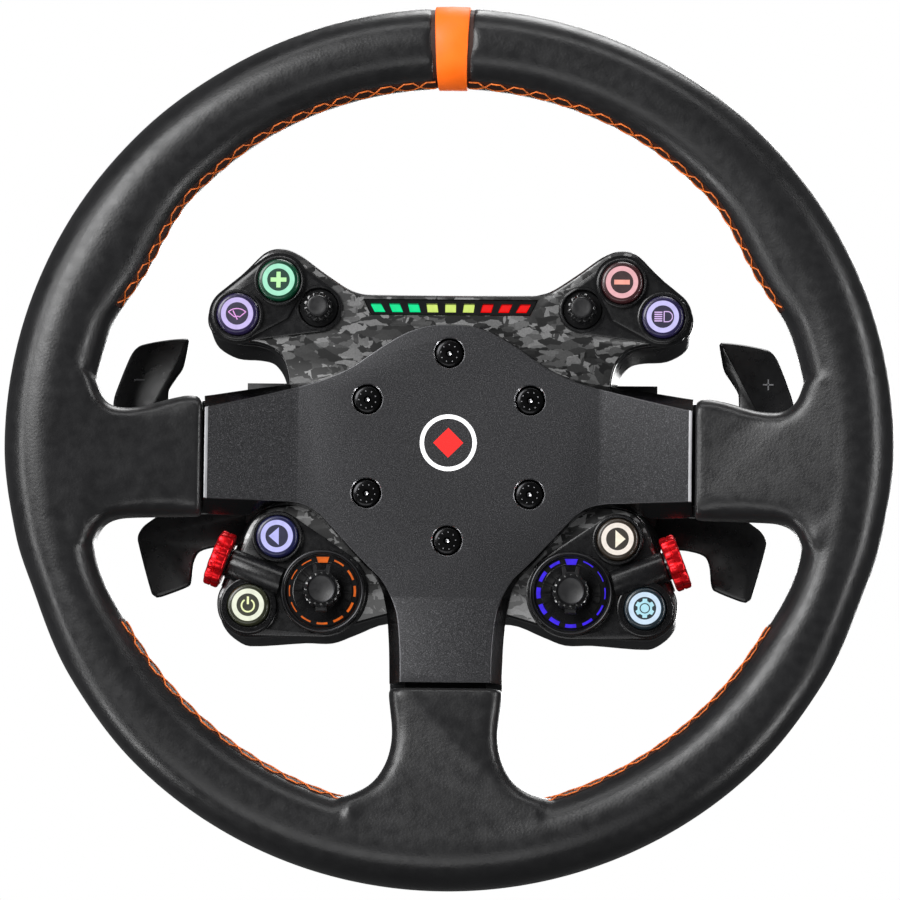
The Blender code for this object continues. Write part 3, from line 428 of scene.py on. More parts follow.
# Painted highlight: lighter metal on the plate's front edge bevel draws a thin bright line.
EDGE_PAINTED_HIGHLIGHT = turned_metal("edge_painted_highlight", (0.13, 0.13, 0.136), 0.3, rings=False)
SEAM = plain("seam_dark", (0.03, 0.008, 0.004), roughness=0.6, grain=900.0, depth=0.3)
SLEEVE = turned_metal("sleeve_aluminium", (0.36, 0.37, 0.39), 0.3)
RELEASE = turned_metal("release_black", (0.035, 0.035, 0.038), 0.34)
BOARD = board_look()
MARK = plain("paint_grey", (0.18, 0.18, 0.19), roughness=0.5, grain=900.0, depth=0.05)
# The badge's white and red print glow a little: painted light.
WHITE_INK_PAINTED_GLOW = ink("white_print_painted_glow", (0.9, 0.9, 0.91))
RED_INK_PAINTED_GLOW = ink("red_print_painted_glow", (0.85, 0.012, 0.01))


def thread_look():
    look = Look("thread_orange", (0.80, 0.17, 0.02), roughness=0.55)
    look.vary(900.0, 0.45, 1.4)
    look.bump(look.noise(2200.0, 2.0), 0.5, 0.1)
    return look.material


THREAD = thread_look()


# ---------------------------------------------------------------- geometry


class Build:
    """Gathers faces in millimetres, with one material per run of faces, and makes one object of them."""

    def __init__(self, name):
        self.name = name
        self.mesh = bmesh.new()
        self.materials = []

    def slot(self, material):
        if material not in self.materials:
            self.materials.append(material)
        return self.materials.index(material)

    def face(self, vertices, material):
        made = self.mesh.faces.new(vertices)
        made.material_index = self.slot(material)
        return made

    def skin(self, rings, material, loop=False, caps=True, bands=None):
        """Faces over a run of rings; bands may give one material per gap between rings."""
        rows = [[self.mesh.verts.new(Vector(point)) for point in ring] for ring in rings]
        pairs = list(zip(rows, rows[1:]))
        if loop:
            pairs.append((rows[-1], rows[0]))
        for place, (first, second) in enumerate(pairs):
            look = bands[place] if bands else material
            for index in range(len(first)):
                after = (index + 1) % len(first)
                self.face((first[index], first[after], second[after], second[index]), look)
        if caps and not loop:
            self.face(rows[0], bands[0] if bands else material)
            self.face(rows[-1], bands[-1] if bands else material)

    def slab(self, outline, front, back, material):
        """Flat shape facing the driver."""
        self.skin([at_depth(outline, front), at_depth(outline, back)], material)

    def lathe(
        self,
        profile,
        centre,
        axis=(0.0, 1.0, 0.0),
        segments=64,
        loop=False,
        bands=None,
        material=None,
        shape=None,
    ):
        """Solid of revolution from (radius, distance along axis) pairs; shape changes the radius by angle."""
        axis = Vector(axis).normalized()
        first = Vector((0.0, 0.0, 1.0))
        first = (first - axis * axis.dot(first)).normalized()
        second = axis.cross(first)
        rings = []
        for radius, along in profile:
            ring = []
            for index in range(segments):
                angle = 2 * math.pi * index / segments
                reach = radius + (shape(angle, radius) if shape else 0.0)
                out = math.cos(angle) * first + math.sin(angle) * second
                ring.append(Vector(centre) + axis * along + reach * out)
            rings.append(ring)
        self.skin(rings, material, loop, bands=bands)

    def tube(self, points, radius, material, sides=6):
        """Round thread along a run of points."""
        rings = []
        for index, point in enumerate(points):
            before = points[index - 1] if index else point
            after = points[index + 1] if index < len(points) - 1 else point
            ahead = (Vector(after) - Vector(before)).normalized()
            side = ahead.cross(Vector((0.31, 0.92, 0.24))).normalized()
            other = ahead.cross(side)
            ring = []
            for step in range(sides):
                angle = 2 * math.pi * step / sides
                ring.append(Vector(point) + radius * (math.cos(angle) * side + math.sin(angle) * other))
            rings.append(ring)
        self.skin(rings, material)

    def finish(self, body="wheel", slot=None, replaces=(), smooth=SMOOTH, bevel=None):
        """The object, in metres; bevel holds the width of the bevel and the least angle that gets one."""
        self.mesh.normal_update()
        bmesh.ops.recalc_face_normals(self.mesh, faces=self.mesh.faces)
        if bevel:
            sharp = []
            for edge in self.mesh.edges:
                if len(edge.link_faces) == 2 and edge.calc_face_angle(0.0) > math.radians(bevel[1]):
                    sharp.append(edge)
            bmesh.ops.bevel(
                self.mesh,
                geom=sharp,
                offset=bevel[0],
                segments=2,
                profile=0.6,
                affect="EDGES",
                clamp_overlap=True,
            )
            self.mesh.normal_update()
        soften(self.mesh, smooth)
        bmesh.ops.scale(self.mesh, vec=(MM, MM, MM), verts=self.mesh.verts)
        data = bpy.data.meshes.new(self.name)
        self.mesh.to_mesh(data)
        self.mesh.free()
        for material in self.materials:
            data.materials.append(material)
        made = bpy.data.objects.new(self.name, data)
        scene.collection.objects.link(made)
        if body:
            place(made, body, slot, replaces)
        return made


def soften(mesh, smooth):
    """Smooth shading everywhere but across edges sharper than the given angle."""
    limit = math.radians(smooth)
    for face in mesh.faces:
        face.smooth = True
    for edge in mesh.edges:
        if len(edge.link_faces) == 2:
            edge.smooth = edge.calc_face_angle(0.0) < limit


def place(made, body, slot=None, replaces=()):
    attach(made, body)
    if replaces:
        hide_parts(*replaces)


def finish_node(build, node, smooth=30.0):
    """Finishes a piece that takes the place and the body of one CAD node."""
    build.finish(node, slot_of(node), (node,), smooth=smooth)


def slot_of(node):
    for part in frame["record"]["subparts"]:
        if part["node"] == node:
            return part["material_slot"]
    return None


def at_depth(outline, depth):
    return [(x, depth, z) for x, z in outline]


def stack(outline, steps):
    """Rings over one outline, each grown by a distance and set at a depth."""
    return [at_depth(offset(outline, grow), depth) for grow, depth in steps]


def spot(x, z, radius, degrees):
    """Point at a distance from a centre, by its angle from the right."""
    angle = math.radians(degrees)
    return x + radius * math.cos(angle), z + radius * math.sin(angle)


def flipped(outline, side):
    return [(side * x, z) for x, z in outline]


def mirrored(half):
    return list(half) + [(-x, z) for x, z in reversed(half)]


def eased(share):
    """Share from 0 to 1 that starts and ends gently."""
    share = min(1.0, max(0.0, share))
    return share * share * (3.0 - 2.0 * share)


def curve(points, steps=5, corner=42.0):
    """Closed outline with its points joined by smooth arcs, except at sharp corners."""
    count = len(points)
    spots = [Vector(point) for point in points]
    result = []
    keep = []
    for index in range(count):
        before = (spots[index] - spots[index - 1]).normalized()
        after = (spots[(index + 1) % count] - spots[index]).normalized()
        keep.append(before.angle(after, 0.0) > math.radians(corner))
    for index in range(count):
        here = spots[index]
        there = spots[(index + 1) % count]
        run = there - here
        start = run if keep[index] else (there - spots[index - 1]) / 2
        end = run if keep[(index + 1) % count] else (spots[(index + 2) % count] - here) / 2
        if start.length > run.length:
            start = start.normalized() * run.length
        if end.length > run.length:
            end = end.normalized() * run.length
        for step in range(steps):
            t = step / steps
            a = 2 * t**3 - 3 * t**2 + 1
            b = t**3 - 2 * t**2 + t
            c = -2 * t**3 + 3 * t**2
            d = t**3 - t**2
            result.append(tuple(here * a + start * b + there * c + end * d))
    return result


def denser(outline, longest):
    """The same outline with extra points along its long straight runs."""
    result = []
    for index, (x, z) in enumerate(outline):
        after_x, after_z = outline[(index + 1) % len(outline)]
        steps = max(1, math.ceil(math.hypot(after_x - x, after_z - z) / longest))
        for step in range(steps):
            share = step / steps
            result.append((x + (after_x - x) * share, z + (after_z - z) * share))
    return result


def offset(outline, distance):
    """The outline grown by a distance, with its corners kept."""
    count = len(outline)
    area = 0.0
    for index, (x, z) in enumerate(outline):
        after_x, after_z = outline[(index + 1) % count]
        area += x * after_z - after_x * z
    turn = 1.0 if area > 0 else -1.0
    moved = []
    for index in range(count):
        here = Vector(outline[index])
        before = (here - Vector(outline[index - 1])).normalized()
        after = (Vector(outline[(index + 1) % count]) - here).normalized()
        one = Vector((before.y, -before.x)) * turn
        two = Vector((after.y, -after.x)) * turn
        mitre = (one + two) / max(0.5, 1.0 + one.dot(two))
        moved.append(tuple(here + mitre * distance))
    return moved


def hull(discs, segments=48):
    """Outline of a band stretched round the discs, each given as x, z and radius."""
    cloud = []
    for x, z, radius in discs:
        for index in range(segments):
            angle = 2 * math.pi * index / segments
            cloud.append((x + radius * math.cos(angle), z + radius * math.sin(angle)))
    cloud.sort()
    sides = []
    for run in (cloud, cloud[::-1]):
        chain = []
        for point in run:
            while len(chain) > 1:
                ax, az = chain[-2]
                bx, bz = chain[-1]
                if (bx - ax) * (point[1] - az) - (bz - az) * (point[0] - ax) > 0:
                    break
                chain.pop()
            chain.append(point)
        sides += chain[:-1]
    return sides


def cutter(build):
    """Hidden object for carve."""
    tool = build.finish(body=None)
    tool.hide_render = True
    tool.hide_viewport = True
    return tool


def bore(radius, x, z, span, segments, material=GLOSS):
    """Round tool that cuts along the depth."""
    tool = Build("bore_tool")
    tool.lathe(((radius, span[0]), (radius, span[1])), (x, 0.0, z), segments=segments, material=material)
    return cutter(tool)


def carve(target, tools):
    """Boolean cuts applied to the mesh, with the tools removed afterwards."""
    for tool in tools:
        step = target.modifiers.new(tool.name, "BOOLEAN")
        step.operation = "DIFFERENCE"
        step.solver = "EXACT"
        step.object = tool
        step.material_mode = "TRANSFER"
    apply(target)
    for tool in tools:
        bpy.data.objects.remove(tool, do_unlink=True)


def apply(target, smooth=SMOOTH):
    graph = bpy.context.evaluated_depsgraph_get()
    baked = bpy.data.meshes.new_from_object(target.evaluated_get(graph))
    target.modifiers.clear()
    target.data = baked
    shade(baked, smooth)


def shade(mesh, smooth=SMOOTH):
    build = bmesh.new()
    build.from_mesh(mesh)
    bmesh.ops.remove_doubles(build, verts=build.verts, dist=1e-6)
    soften(build, smooth)
    build.to_mesh(mesh)
    build.free()


def softened(node, material, width, body, slot, corner=30.0):
    """Copy of a CAD node with its edges eased."""
    build = Build(f"{node}_shown")
    build.mesh.from_mesh(nodes[node].data)
    bmesh.ops.scale(build.mesh, vec=(1 / MM, 1 / MM, 1 / MM), verts=build.mesh.verts)
    bmesh.ops.remove_doubles(build.mesh, verts=build.mesh.verts, dist=0.001)
    flat = math.radians(1.0)
    bmesh.ops.dissolve_limit(build.mesh, angle_limit=flat, verts=build.mesh.verts, edges=build.mesh.edges)
    for face in build.mesh.faces:
        face.material_index = 0
    build.materials = [material]
    build.finish(body, slot, (node,), bevel=(width, corner))


def fold(distance):
    share = min(1.0, max(0.0, (distance - FOLD_START) / (FOLD_END - FOLD_START)))
    return -FOLD_RISE * share


# ---------------------------------------------------------------- rim


# The grip's section is a circle squared off a little by this power.
SECTION_POWER = 2 / 2.3


def rim_radii(angle):
    """Outer and inner radius of the grip at an angle from the top."""
    angle = abs((angle + 180.0) % 360.0 - 180.0)
    for first, second in zip(RIM_STATIONS, RIM_STATIONS[1:]):
        if angle <= second[0]:
            share = eased((angle - first[0]) / (second[0] - first[0]))
            return tuple(near + (far - near) * share for near, far in zip(first[1:], second[1:]))
    return RIM_STATIONS[-1][1:]


def rim_point(angle, around, grow=0.0):
    """Point on the grip: angle from the top, and around its section from the outer side through the rear."""
    outer, inner = rim_radii(angle)
    middle = (outer + inner) / 2
    cosine = math.cos(around)
    sine = math.sin(around)
    across = math.copysign(abs(cosine) ** SECTION_POWER, cosine)
    deep = math.copysign(abs(sine) ** SECTION_POWER, sine)
    radius = middle + ((outer - inner) / 2 + grow) * across
    turn = math.radians(angle)
    depth = RIM_Y + (RIM_HALF_DEPTH + grow) * deep
    return Vector((radius * math.sin(turn), depth, radius * math.cos(turn)))


def rim_ring(angle, grow=0.0, count=44):
    return [rim_point(angle, 2 * math.pi * index / count, grow) for index in range(count)]


MARKER_HALF = 2.3
LEATHER_START = 2.5
GRIP_STEPS = 220
GRIP_VOXEL = 1.3
GRIP_RELAX = 9
# Rounded edge of a leather spoke: depth from its middle, and how far the outline moves there.
SHOULDER = ((-9.0, -4.2), (-8.5, -2.6), (-7.5, -1.3), (-6.0, -0.4), (-4.0, 0.0))
# Distances from the hub between which a spoke thickens into the grip, and by what share.
BLEND_START = 100.0
BLEND_END = 148.0
BLEND_SWELL = 0.78
# Depths of the dark strips that close the gaps between plate and leather.
SEAL_FRONT = -65.6
SEAL_BACK = -62.0


def grip_spoke(build, outline, held):
    """Leather spoke; the points level with the first one stay put along the axis named by held."""
    rings = []
    profile = list(SHOULDER) + [(-depth, grow) for depth, grow in reversed(SHOULDER)]
    fine = denser(curve(outline, 4), 5.0)
    level = outline[0][held]
    for depth, grow in profile:
        ring = []
        for old, new in zip(fine, offset(fine, grow)):
            point = list(new)
            if abs(old[held] - level) < 0.01:
                point[held] = level
            share = (math.hypot(*old) - BLEND_START) / (BLEND_END - BLEND_START)
            swell = 1.0 + BLEND_SWELL * eased(share)
            ring.append((point[0], RIM_Y + depth * swell, point[1]))
        rings.append(ring)
    build.skin(rings, LEATHER)


def build_leather():
    build = Build("grip_leather")
    rings = []
    for index in range(GRIP_STEPS + 1):
        rings.append(rim_ring(LEATHER_START + (360 - 2 * LEATHER_START) * index / GRIP_STEPS))
    build.skin(rings, LEATHER)
    for side in (-1, 1):
        grip_spoke(build, flipped(SIDE_SPOKE, side), 0)
    grip_spoke(build, mirrored(LOWER_SPOKE_HALF), 1)
    grip = build.finish(None)
    remesh = grip.modifiers.new("skin", "REMESH")
    remesh.mode = "VOXEL"
    remesh.voxel_size = GRIP_VOXEL * MM
    remesh.use_smooth_shade = True
    relax = grip.modifiers.new("relax", "SMOOTH")
    relax.factor = 0.5
    relax.iterations = GRIP_RELAX
    apply(grip, 80.0)
    place(grip, "wheel", "rim_leather", ("rim_wrap",))

    build = Build("marker_band")
    start = -MARKER_HALF
    steps = [(start, -1.0), (start, 0.0), (start + 0.05, 0.3), (start + 0.16, 0.5)]
    stations = steps + [(0.0, 0.56)] + [(-angle, grow) for angle, grow in reversed(steps)]
    build.skin([rim_ring(angle, grow) for angle, grow in stations], ORANGE)
    build.finish("wheel", "marker_leather", ("centre_marker",), smooth=60.0)

    build = Build("marker_seam")
    build.skin([rim_ring(angle, -0.55) for angle in (-3.0, -1.5, 0.0, 1.5, 3.0)], SEAM)
    build.finish("wheel", "marker_leather", smooth=60.0)

    build = Build("spoke_seal")
    lower = [(-21.0, -86.0), (21.0, -86.0), (20.8, -91.5), (-20.8, -91.5)]
    flank = [(89.4, 17.3), (93.2, 17.3), (93.2, -25.3), (89.4, -25.3)]
    for strip in (lower, flipped(flank, -1), flank):
        build.slab(strip, SEAL_FRONT, SEAL_BACK, GLOSS)
    build.finish("wheel", "rim_leather", smooth=30.0, bevel=(0.4, 30.0))


# Where the seam runs: around the section in radians, and along the rim in degrees from the top.
SEAM_FRONT = math.pi + 0.50
SEAM_REAR = math.pi + 0.15
SEAM_BEDS = ((2.55, 67.5), (118.5, 167.5))
SEAM_THREADS = ((2.6, 67.0), (119.0, 167.0))
SEAM_STEPS = 40
SEAM_RADIUS = 135.0
STITCH_PERIOD = 17.4
STITCH_RADIUS = 0.3
# Half a lacing of a thread: place along the period, place across the seam, lift off the leather.
LACING = (
    (0.00, 0.0, 0.20), (0.03, 0.0, 0.34), (0.14, 0.0, 0.38), (0.20, 0.0, 0.26), (0.28, 0.25, 0.34),
    (0.355, 0.5, 0.46), (0.43, 0.75, 0.34),
)


def stitch_run(build, start, end):
    """Two crossing threads laced over the seam on the inner side of the grip."""
    span = end - start
    length = abs(math.radians(span)) * SEAM_RADIUS
    periods = max(1, round(length / STITCH_PERIOD))
    for phase in (0.0, 0.5):
        points = []
        for period in range(periods + 1):
            for half in (0, 1):
                for along, across, lift in LACING:
                    t = (period - phase + half * 0.5 + along) / periods
                    if t < 0.0 or t > 1.0:
                        continue
                    side = across if half == 0 else 1.0 - across
                    around = SEAM_FRONT + (SEAM_REAR - SEAM_FRONT) * side
                    points.append(rim_point(start + span * t, around, lift))
        build.tube(points, STITCH_RADIUS, THREAD)


def build_stitches():
    build = Build("seam_bed")
    low = SEAM_REAR - 0.03
    high = SEAM_FRONT + 0.03
    for side in (-1, 1):
        for start, end in SEAM_BEDS:
            rings = []
            for step in range(SEAM_STEPS + 1):
                angle = side * (start + (end - start) * step / SEAM_STEPS)
                ring = [rim_point(angle, low, -0.8)]
                for index in range(6):
                    ring.append(rim_point(angle, low + (high - low) * index / 5, 0.12))
                ring.append(rim_point(angle, high, -0.8))
                rings.append(ring)
            build.skin(rings, SEAM)
    build.finish("wheel", "rim_leather", smooth=80.0)
    build = Build("seam_stitches")
    for side in (-1, 1):
        for start, end in SEAM_THREADS:
            stitch_run(build, side * start, side * end)
    build.finish("wheel", "rim_leather", smooth=80.0)


# ---------------------------------------------------------------- plate and bolts


def bolt_centres():
    for index in range(BOLTS):
        yield index + 1, *spot(0.0, 0.0, BOLT_CIRCLE, 90.0 + 60.0 * index)


def build_plate():
    edge = curve(mirrored(PLATE_EDGE), 5, 30.0)
    face = curve(mirrored(PLATE_FACE), 5, 30.0)
    build = Build("hub_plate")
    rings = [at_depth(edge, PLATE_BACK), at_depth(edge, PLATE_BEVEL), at_depth(face, PLATE_FRONT)]
    build.skin(rings, COAT, bands=[COAT, BEVEL])
    coat = build.slot(COAT)
    for piece in build.mesh.faces:
        if all(abs(v.co.y - PLATE_FRONT) < TOUCH for v in piece.verts):
            piece.material_index = coat
    build.mesh.normal_update()
    bmesh.ops.recalc_face_normals(build.mesh, faces=build.mesh.faces)
    rim = []
    for piece in build.mesh.edges:
        if all(abs(v.co.y - PLATE_FRONT) < TOUCH for v in piece.verts):
            rim.append(piece)
    # The bevel round the front face gets the lighter metal: a painted highlight line.
    line = build.slot(EDGE_PAINTED_HIGHLIGHT)
    bmesh.ops.bevel(
        build.mesh,
        geom=rim,
        offset=0.3,
        segments=2,
        profile=0.7,
        affect="EDGES",
        clamp_overlap=True,
        material=line,
    )
    # Where the edge bevel reaches the arm ends it turns bright: painted highlight.
    bright = build.slot(HIGHLIGHT_METAL)
    for piece in build.mesh.faces:
        centre = piece.calc_center_median()
        if piece.material_index == line and abs(centre.x) > PLATE_FACE_END - 0.5:
            piece.material_index = bright
    for normal in ((1, 0, 0), (-1, 0, 0), (0, 0, -1)):
        for reach in FOLD_CUTS:
            whole = build.mesh.verts[:] + build.mesh.edges[:] + build.mesh.faces[:]
            cut = Vector(normal) * float(reach)
            bmesh.ops.bisect_plane(build.mesh, geom=whole, dist=0.001, plane_co=cut, plane_no=normal)
    # A strip across each arm's end is bright metal: a painted highlight line.
    shine = build.slot(END_HIGHLIGHT)
    for piece in build.mesh.faces:
        centre = piece.calc_center_median()
        if abs(centre.x) > END_STRIP and abs(centre.y - PLATE_FRONT) < 0.35:
            piece.material_index = shine
    for vertex in build.mesh.verts:
        vertex.co.y += fold(max(abs(vertex.co.x), -vertex.co.z))
    plate = build.finish("wheel", "plate_coat", ("front_plate",), smooth=26.0)
    tools = []
    for index, x, z in bolt_centres():
        hole = Build(f"bolt_sink_{index}")
        profile = (
            (6.35, PLATE_FRONT - 0.5), (6.0, PLATE_FRONT - 0.001), (5.62, PLATE_FRONT + 0.4),
            (5.62, PLATE_BACK + 1.0),
        )
        # The counterbore's chamfer and upper wall take the bright metal: a painted highlight ring round each
        # bolt.
        hole.lathe(profile, (x, 0.0, z), segments=56, bands=[HIGHLIGHT_METAL, HIGHLIGHT_METAL, BOLT])
        tools.append(cutter(hole))
    carve(plate, tools)
    shade(plate.data, PLATE_SMOOTH)

    for index, x, z in bolt_centres():
        build = Build(f"bolt_{index}_shown")
        front = PLATE_FRONT + 0.42
        profile = (
            (2.0, front + 0.02), (3.4, front + 0.04), (4.4, front + 0.14), (4.9, front + 0.36),
            (5.15, front + 0.7), (5.2, front + 1.0), (5.2, front + 3.1), (2.9, front + 3.1),
            (2.9, -56.0),
        )
        build.lathe(profile, (x, 0.0, z), segments=48, material=BOLT)
        head = build.finish("wheel", "bolt_black", (f"hub_bolt_{index}",), smooth=40.0)
        socket = Build("socket_tool")
        hexagon = [spot(x, z, 1.5, 60.0 * corner + 17.0 * index) for corner in range(6)]
        socket.slab(hexagon, front - 1.0, front + 2.0, BOLT)
        carve(head, [cutter(socket)])
        # A bright steel cone in each socket: a painted glint.
        painted_glint = Build(f"bolt_{index}_socket")
        profile = ((0.05, front + 1.1), (0.7, front + 0.9), (1.2, front + 1.5))
        painted_glint.lathe(profile, (x, 0.0, z), segments=12, material=STEEL)
        painted_glint.finish("wheel", "bolt_black", smooth=60.0)
        dome = ((0.05, front - 0.04), (0.22, front + 0.0), (0.27, front + 0.2))
        dots = Build(f"bolt_{index}_dimples")
        for dot in range(DIMPLES):
            dot_x, dot_z = spot(x, z, 3.2, 40.0 * dot + 11.0 * index)
            dots.lathe(dome, (dot_x, 0.0, dot_z), segments=10, material=MARK)
        dots.finish("wheel", "bolt_black", smooth=60.0)


def build_emblem():
    """Neutral hub badge: a plain white ring with a red diamond."""
    front = PLATE_FRONT - 0.04
    build = Build("hub_badge")
    ring = ((9.0, front + 0.3), (9.0, front), (10.6, front), (10.6, front + 0.3))
    build.lathe(ring, (0.0, 0.0, 1.5), segments=72, loop=True, material=WHITE_INK_PAINTED_GLOW)
    diamond = ((5.6, 1.5), (0.0, 7.1), (-5.6, 1.5), (0.0, -4.1))
    build.slab(diamond, front, front + 0.3, RED_INK_PAINTED_GLOW)
    build.finish("wheel", "plate_coat", smooth=20.0)


# ---------------------------------------------------------------- pods


def build_shell():
    waist = [(60.0, 12.0), (60.0, -14.0)]
    front = curve(mirrored(list(UPPER_POD) + waist + list(LOWER_POD)), 4)
    rear = curve(mirrored(list(UPPER_POD_REAR) + waist + list(LOWER_POD_REAR)), 4)

    def between(share):
        pairs = zip(front, rear)
        return [((1 - share) * a[0] + share * b[0], (1 - share) * a[1] + share * b[1]) for a, b in pairs]

    build = Build("rear_housing")
    rings = [
        at_depth(offset(rear, -2.6), -44.4),
        at_depth(offset(front, -2.0), SHELL_FRONT),
        at_depth(offset(front, -0.35), SHELL_FRONT),
        at_depth(front, SHELL_FRONT + 0.35),
        at_depth(offset(between(0.1), -0.05), -60.2),
        at_depth(offset(between(0.1), -0.5), -60.0),
        at_depth(offset(between(0.12), -0.5), -59.6),
        at_depth(offset(between(0.12), -0.05), -59.4),
        at_depth(between(0.9), -47.5),
        at_depth(offset(rear, -0.15), -45.6),
        at_depth(offset(rear, -0.7), -43.8),
        at_depth(offset(rear, -1.8), SHELL_BACK + 0.4),
        at_depth(offset(rear, -2.6), SHELL_BACK),
    ]
    build.skin(rings, SHELL)
    shell = build.finish("wheel", "shell_black", ("rear_shell",))
    carve(shell, [bore(NECK_HOLE, 0.0, 0.0, NECK_CUT, 72, SHELL)])
    for face in shell.data.polygons:
        if face.normal.y > 0.99:
            face.use_smooth = False

    build = Build("housing_screws")
    profile = ((1.2, -41.75), (1.3, -41.35), (2.1, -41.32), (2.35, -41.5), (2.35, -43.0))
    for x, z in ((38.0, 46.0), (78.0, 48.0), (62.0, 64.0), (36.0, -58.0), (76.0, -62.0), (66.0, -34.0)):
        for side in (-1, 1):
            build.lathe(profile, (side * x, 0.0, z), segments=24, material=STEEL)
    build.finish("wheel", "shell_black", smooth=30.0)


def fascia(name, outline, node, tools):
    """Carbon sheet over a pod, with its edge eased and its holes cut."""
    build = Build(name)
    fine = curve(outline, 5)
    front = FASCIA_FRONT
    steps = ((0.0, FASCIA_BACK), (0.0, front + 0.9), (-0.25, front + 0.35), (-0.8, front))
    build.skin(stack(fine, steps), GLOSS, caps=False)
    for depth, look in ((FASCIA_BACK, GLOSS), (FASCIA_FRONT, CARBON)):
        build.face([v for v in build.mesh.verts if abs(v.co.y - depth) < TOUCH], look)
    made = build.finish("wheel", "carbon", (node,))
    carve(made, [bore(HUB_HOLE, 0.0, 0.0, FASCIA_CUT, 96)] + tools)


def build_fascias():
    slot = Build("slot_tool")
    slot.slab([(-32.6, 55.8), (32.6, 55.8), (29.8, 49.8), (-29.8, 49.8)], *FASCIA_CUT, GLOSS)
    tools = [cutter(slot)]
    for side in (-1, 1):
        for x, z in UPPER_BUTTONS.values():
            tools.append(bore(SHAFT_HOLE, side * x, z, FASCIA_CUT, 32))
        tools.append(bore(STICK_HOLE, side * STICK[0], STICK[1], FASCIA_CUT, 32))
    fascia("carbon_fascia_upper", mirrored(list(UPPER_POD) + [(60.0, 13.6)]), "fascia_upper", tools)

    for side, word in SIDES:
        outline = [(38.0, -21.6), (62.0, -21.6)] + list(LOWER_POD)[1:] + [(15.6, -61.2), (15.6, -38.0)]
        tools = []
        for x, z in LOWER_BUTTONS.values():
            tools.append(bore(SHAFT_HOLE, side * x, z, FASCIA_CUT, 32))
        tools.append(bore(DIAL_SHAFT_HOLE, side * DIAL[0], DIAL[1], FASCIA_CUT, 32))
        tools.append(wheel_bore(side, 3.0))
        fascia(f"carbon_fascia_lower_{word}", flipped(outline, side), f"fascia_lower_{word}", tools)


def wheel_axis(side):
    return Vector((side * math.cos(WHEEL_TILT), 0.0, math.sin(WHEEL_TILT)))


def wheel_centre(side):
    x, y, z = WHEEL_CENTRE
    return Vector((side * x, y, z))


def wheel_bore(side, start):
    """Tool that clears the shaft of a thumbwheel."""
    tool = Build("groove_tool")
    profile = ((WHEEL_BORE, start), (WHEEL_BORE, WHEEL_BORE_END))
    tool.lathe(profile, wheel_centre(side), wheel_axis(side), 32, material=GLOSS)
    return cutter(tool)


def collar(x, z, outer, word, fine_lines):
    """Ring round a key, with turned lines on its front where fine_lines is set."""
    build = Build(f"collar_{word}")
    front = COLLAR_FRONT
    profile = [(8.0, INSERT_BACK - 0.9), (8.0, front + 0.5), (8.12, front + 0.15), (8.4, front)]
    if fine_lines:
        reach = LINE_START
        while reach < outer - 0.7:
            profile += [(reach, front), (reach + LINE_WIDTH / 2, front + 0.14), (reach + LINE_WIDTH, front)]
            reach += LINE_PITCH
    else:
        profile += [((8.4 + outer) / 2, front - 0.02)]
    profile += [
        (outer - 0.45, front), (outer - 0.12, front + 0.15), (outer, front + 0.5),
        (outer + 0.05, INSERT_FRONT - 0.25), (outer + 0.35, INSERT_FRONT + 0.05),
        (outer + 0.1, INSERT_FRONT + 0.6),
    ]
    build.lathe(profile, (x, 0.0, z), segments=80, loop=True, material=POD)
    build.finish("wheel", "pod_black", smooth=30.0)


def island(name, discs, holes, node):
    """Raised insert that holds the controls of one pod."""
    outline = hull(discs)
    build = Build(name)
    front = INSERT_FRONT
    steps = ((0.0, INSERT_BACK), (0.0, front + 0.35), (-0.12, front + 0.1), (-0.4, front))
    build.skin(stack(outline, steps), POD)
    made = build.finish("wheel", "pod_black", (node,))
    carve(made, [bore(radius, x, z, INSERT_CUT, 72) for x, z, radius in holes])
    return made


def openings(side, buttons, knob, reach, hole):
    """Discs that an insert is stretched round, and holes in it, for two keys and a knob."""
    discs = [(side * x, z, COLLAR_RADII[name] + 0.5) for name, (x, z) in buttons.items()]
    holes = [(side * x, z, KEY_HOLE) for x, z in buttons.values()]
    x, z = knob
    return discs + [(side * x, z, reach)], holes + [(side * x, z, hole)]


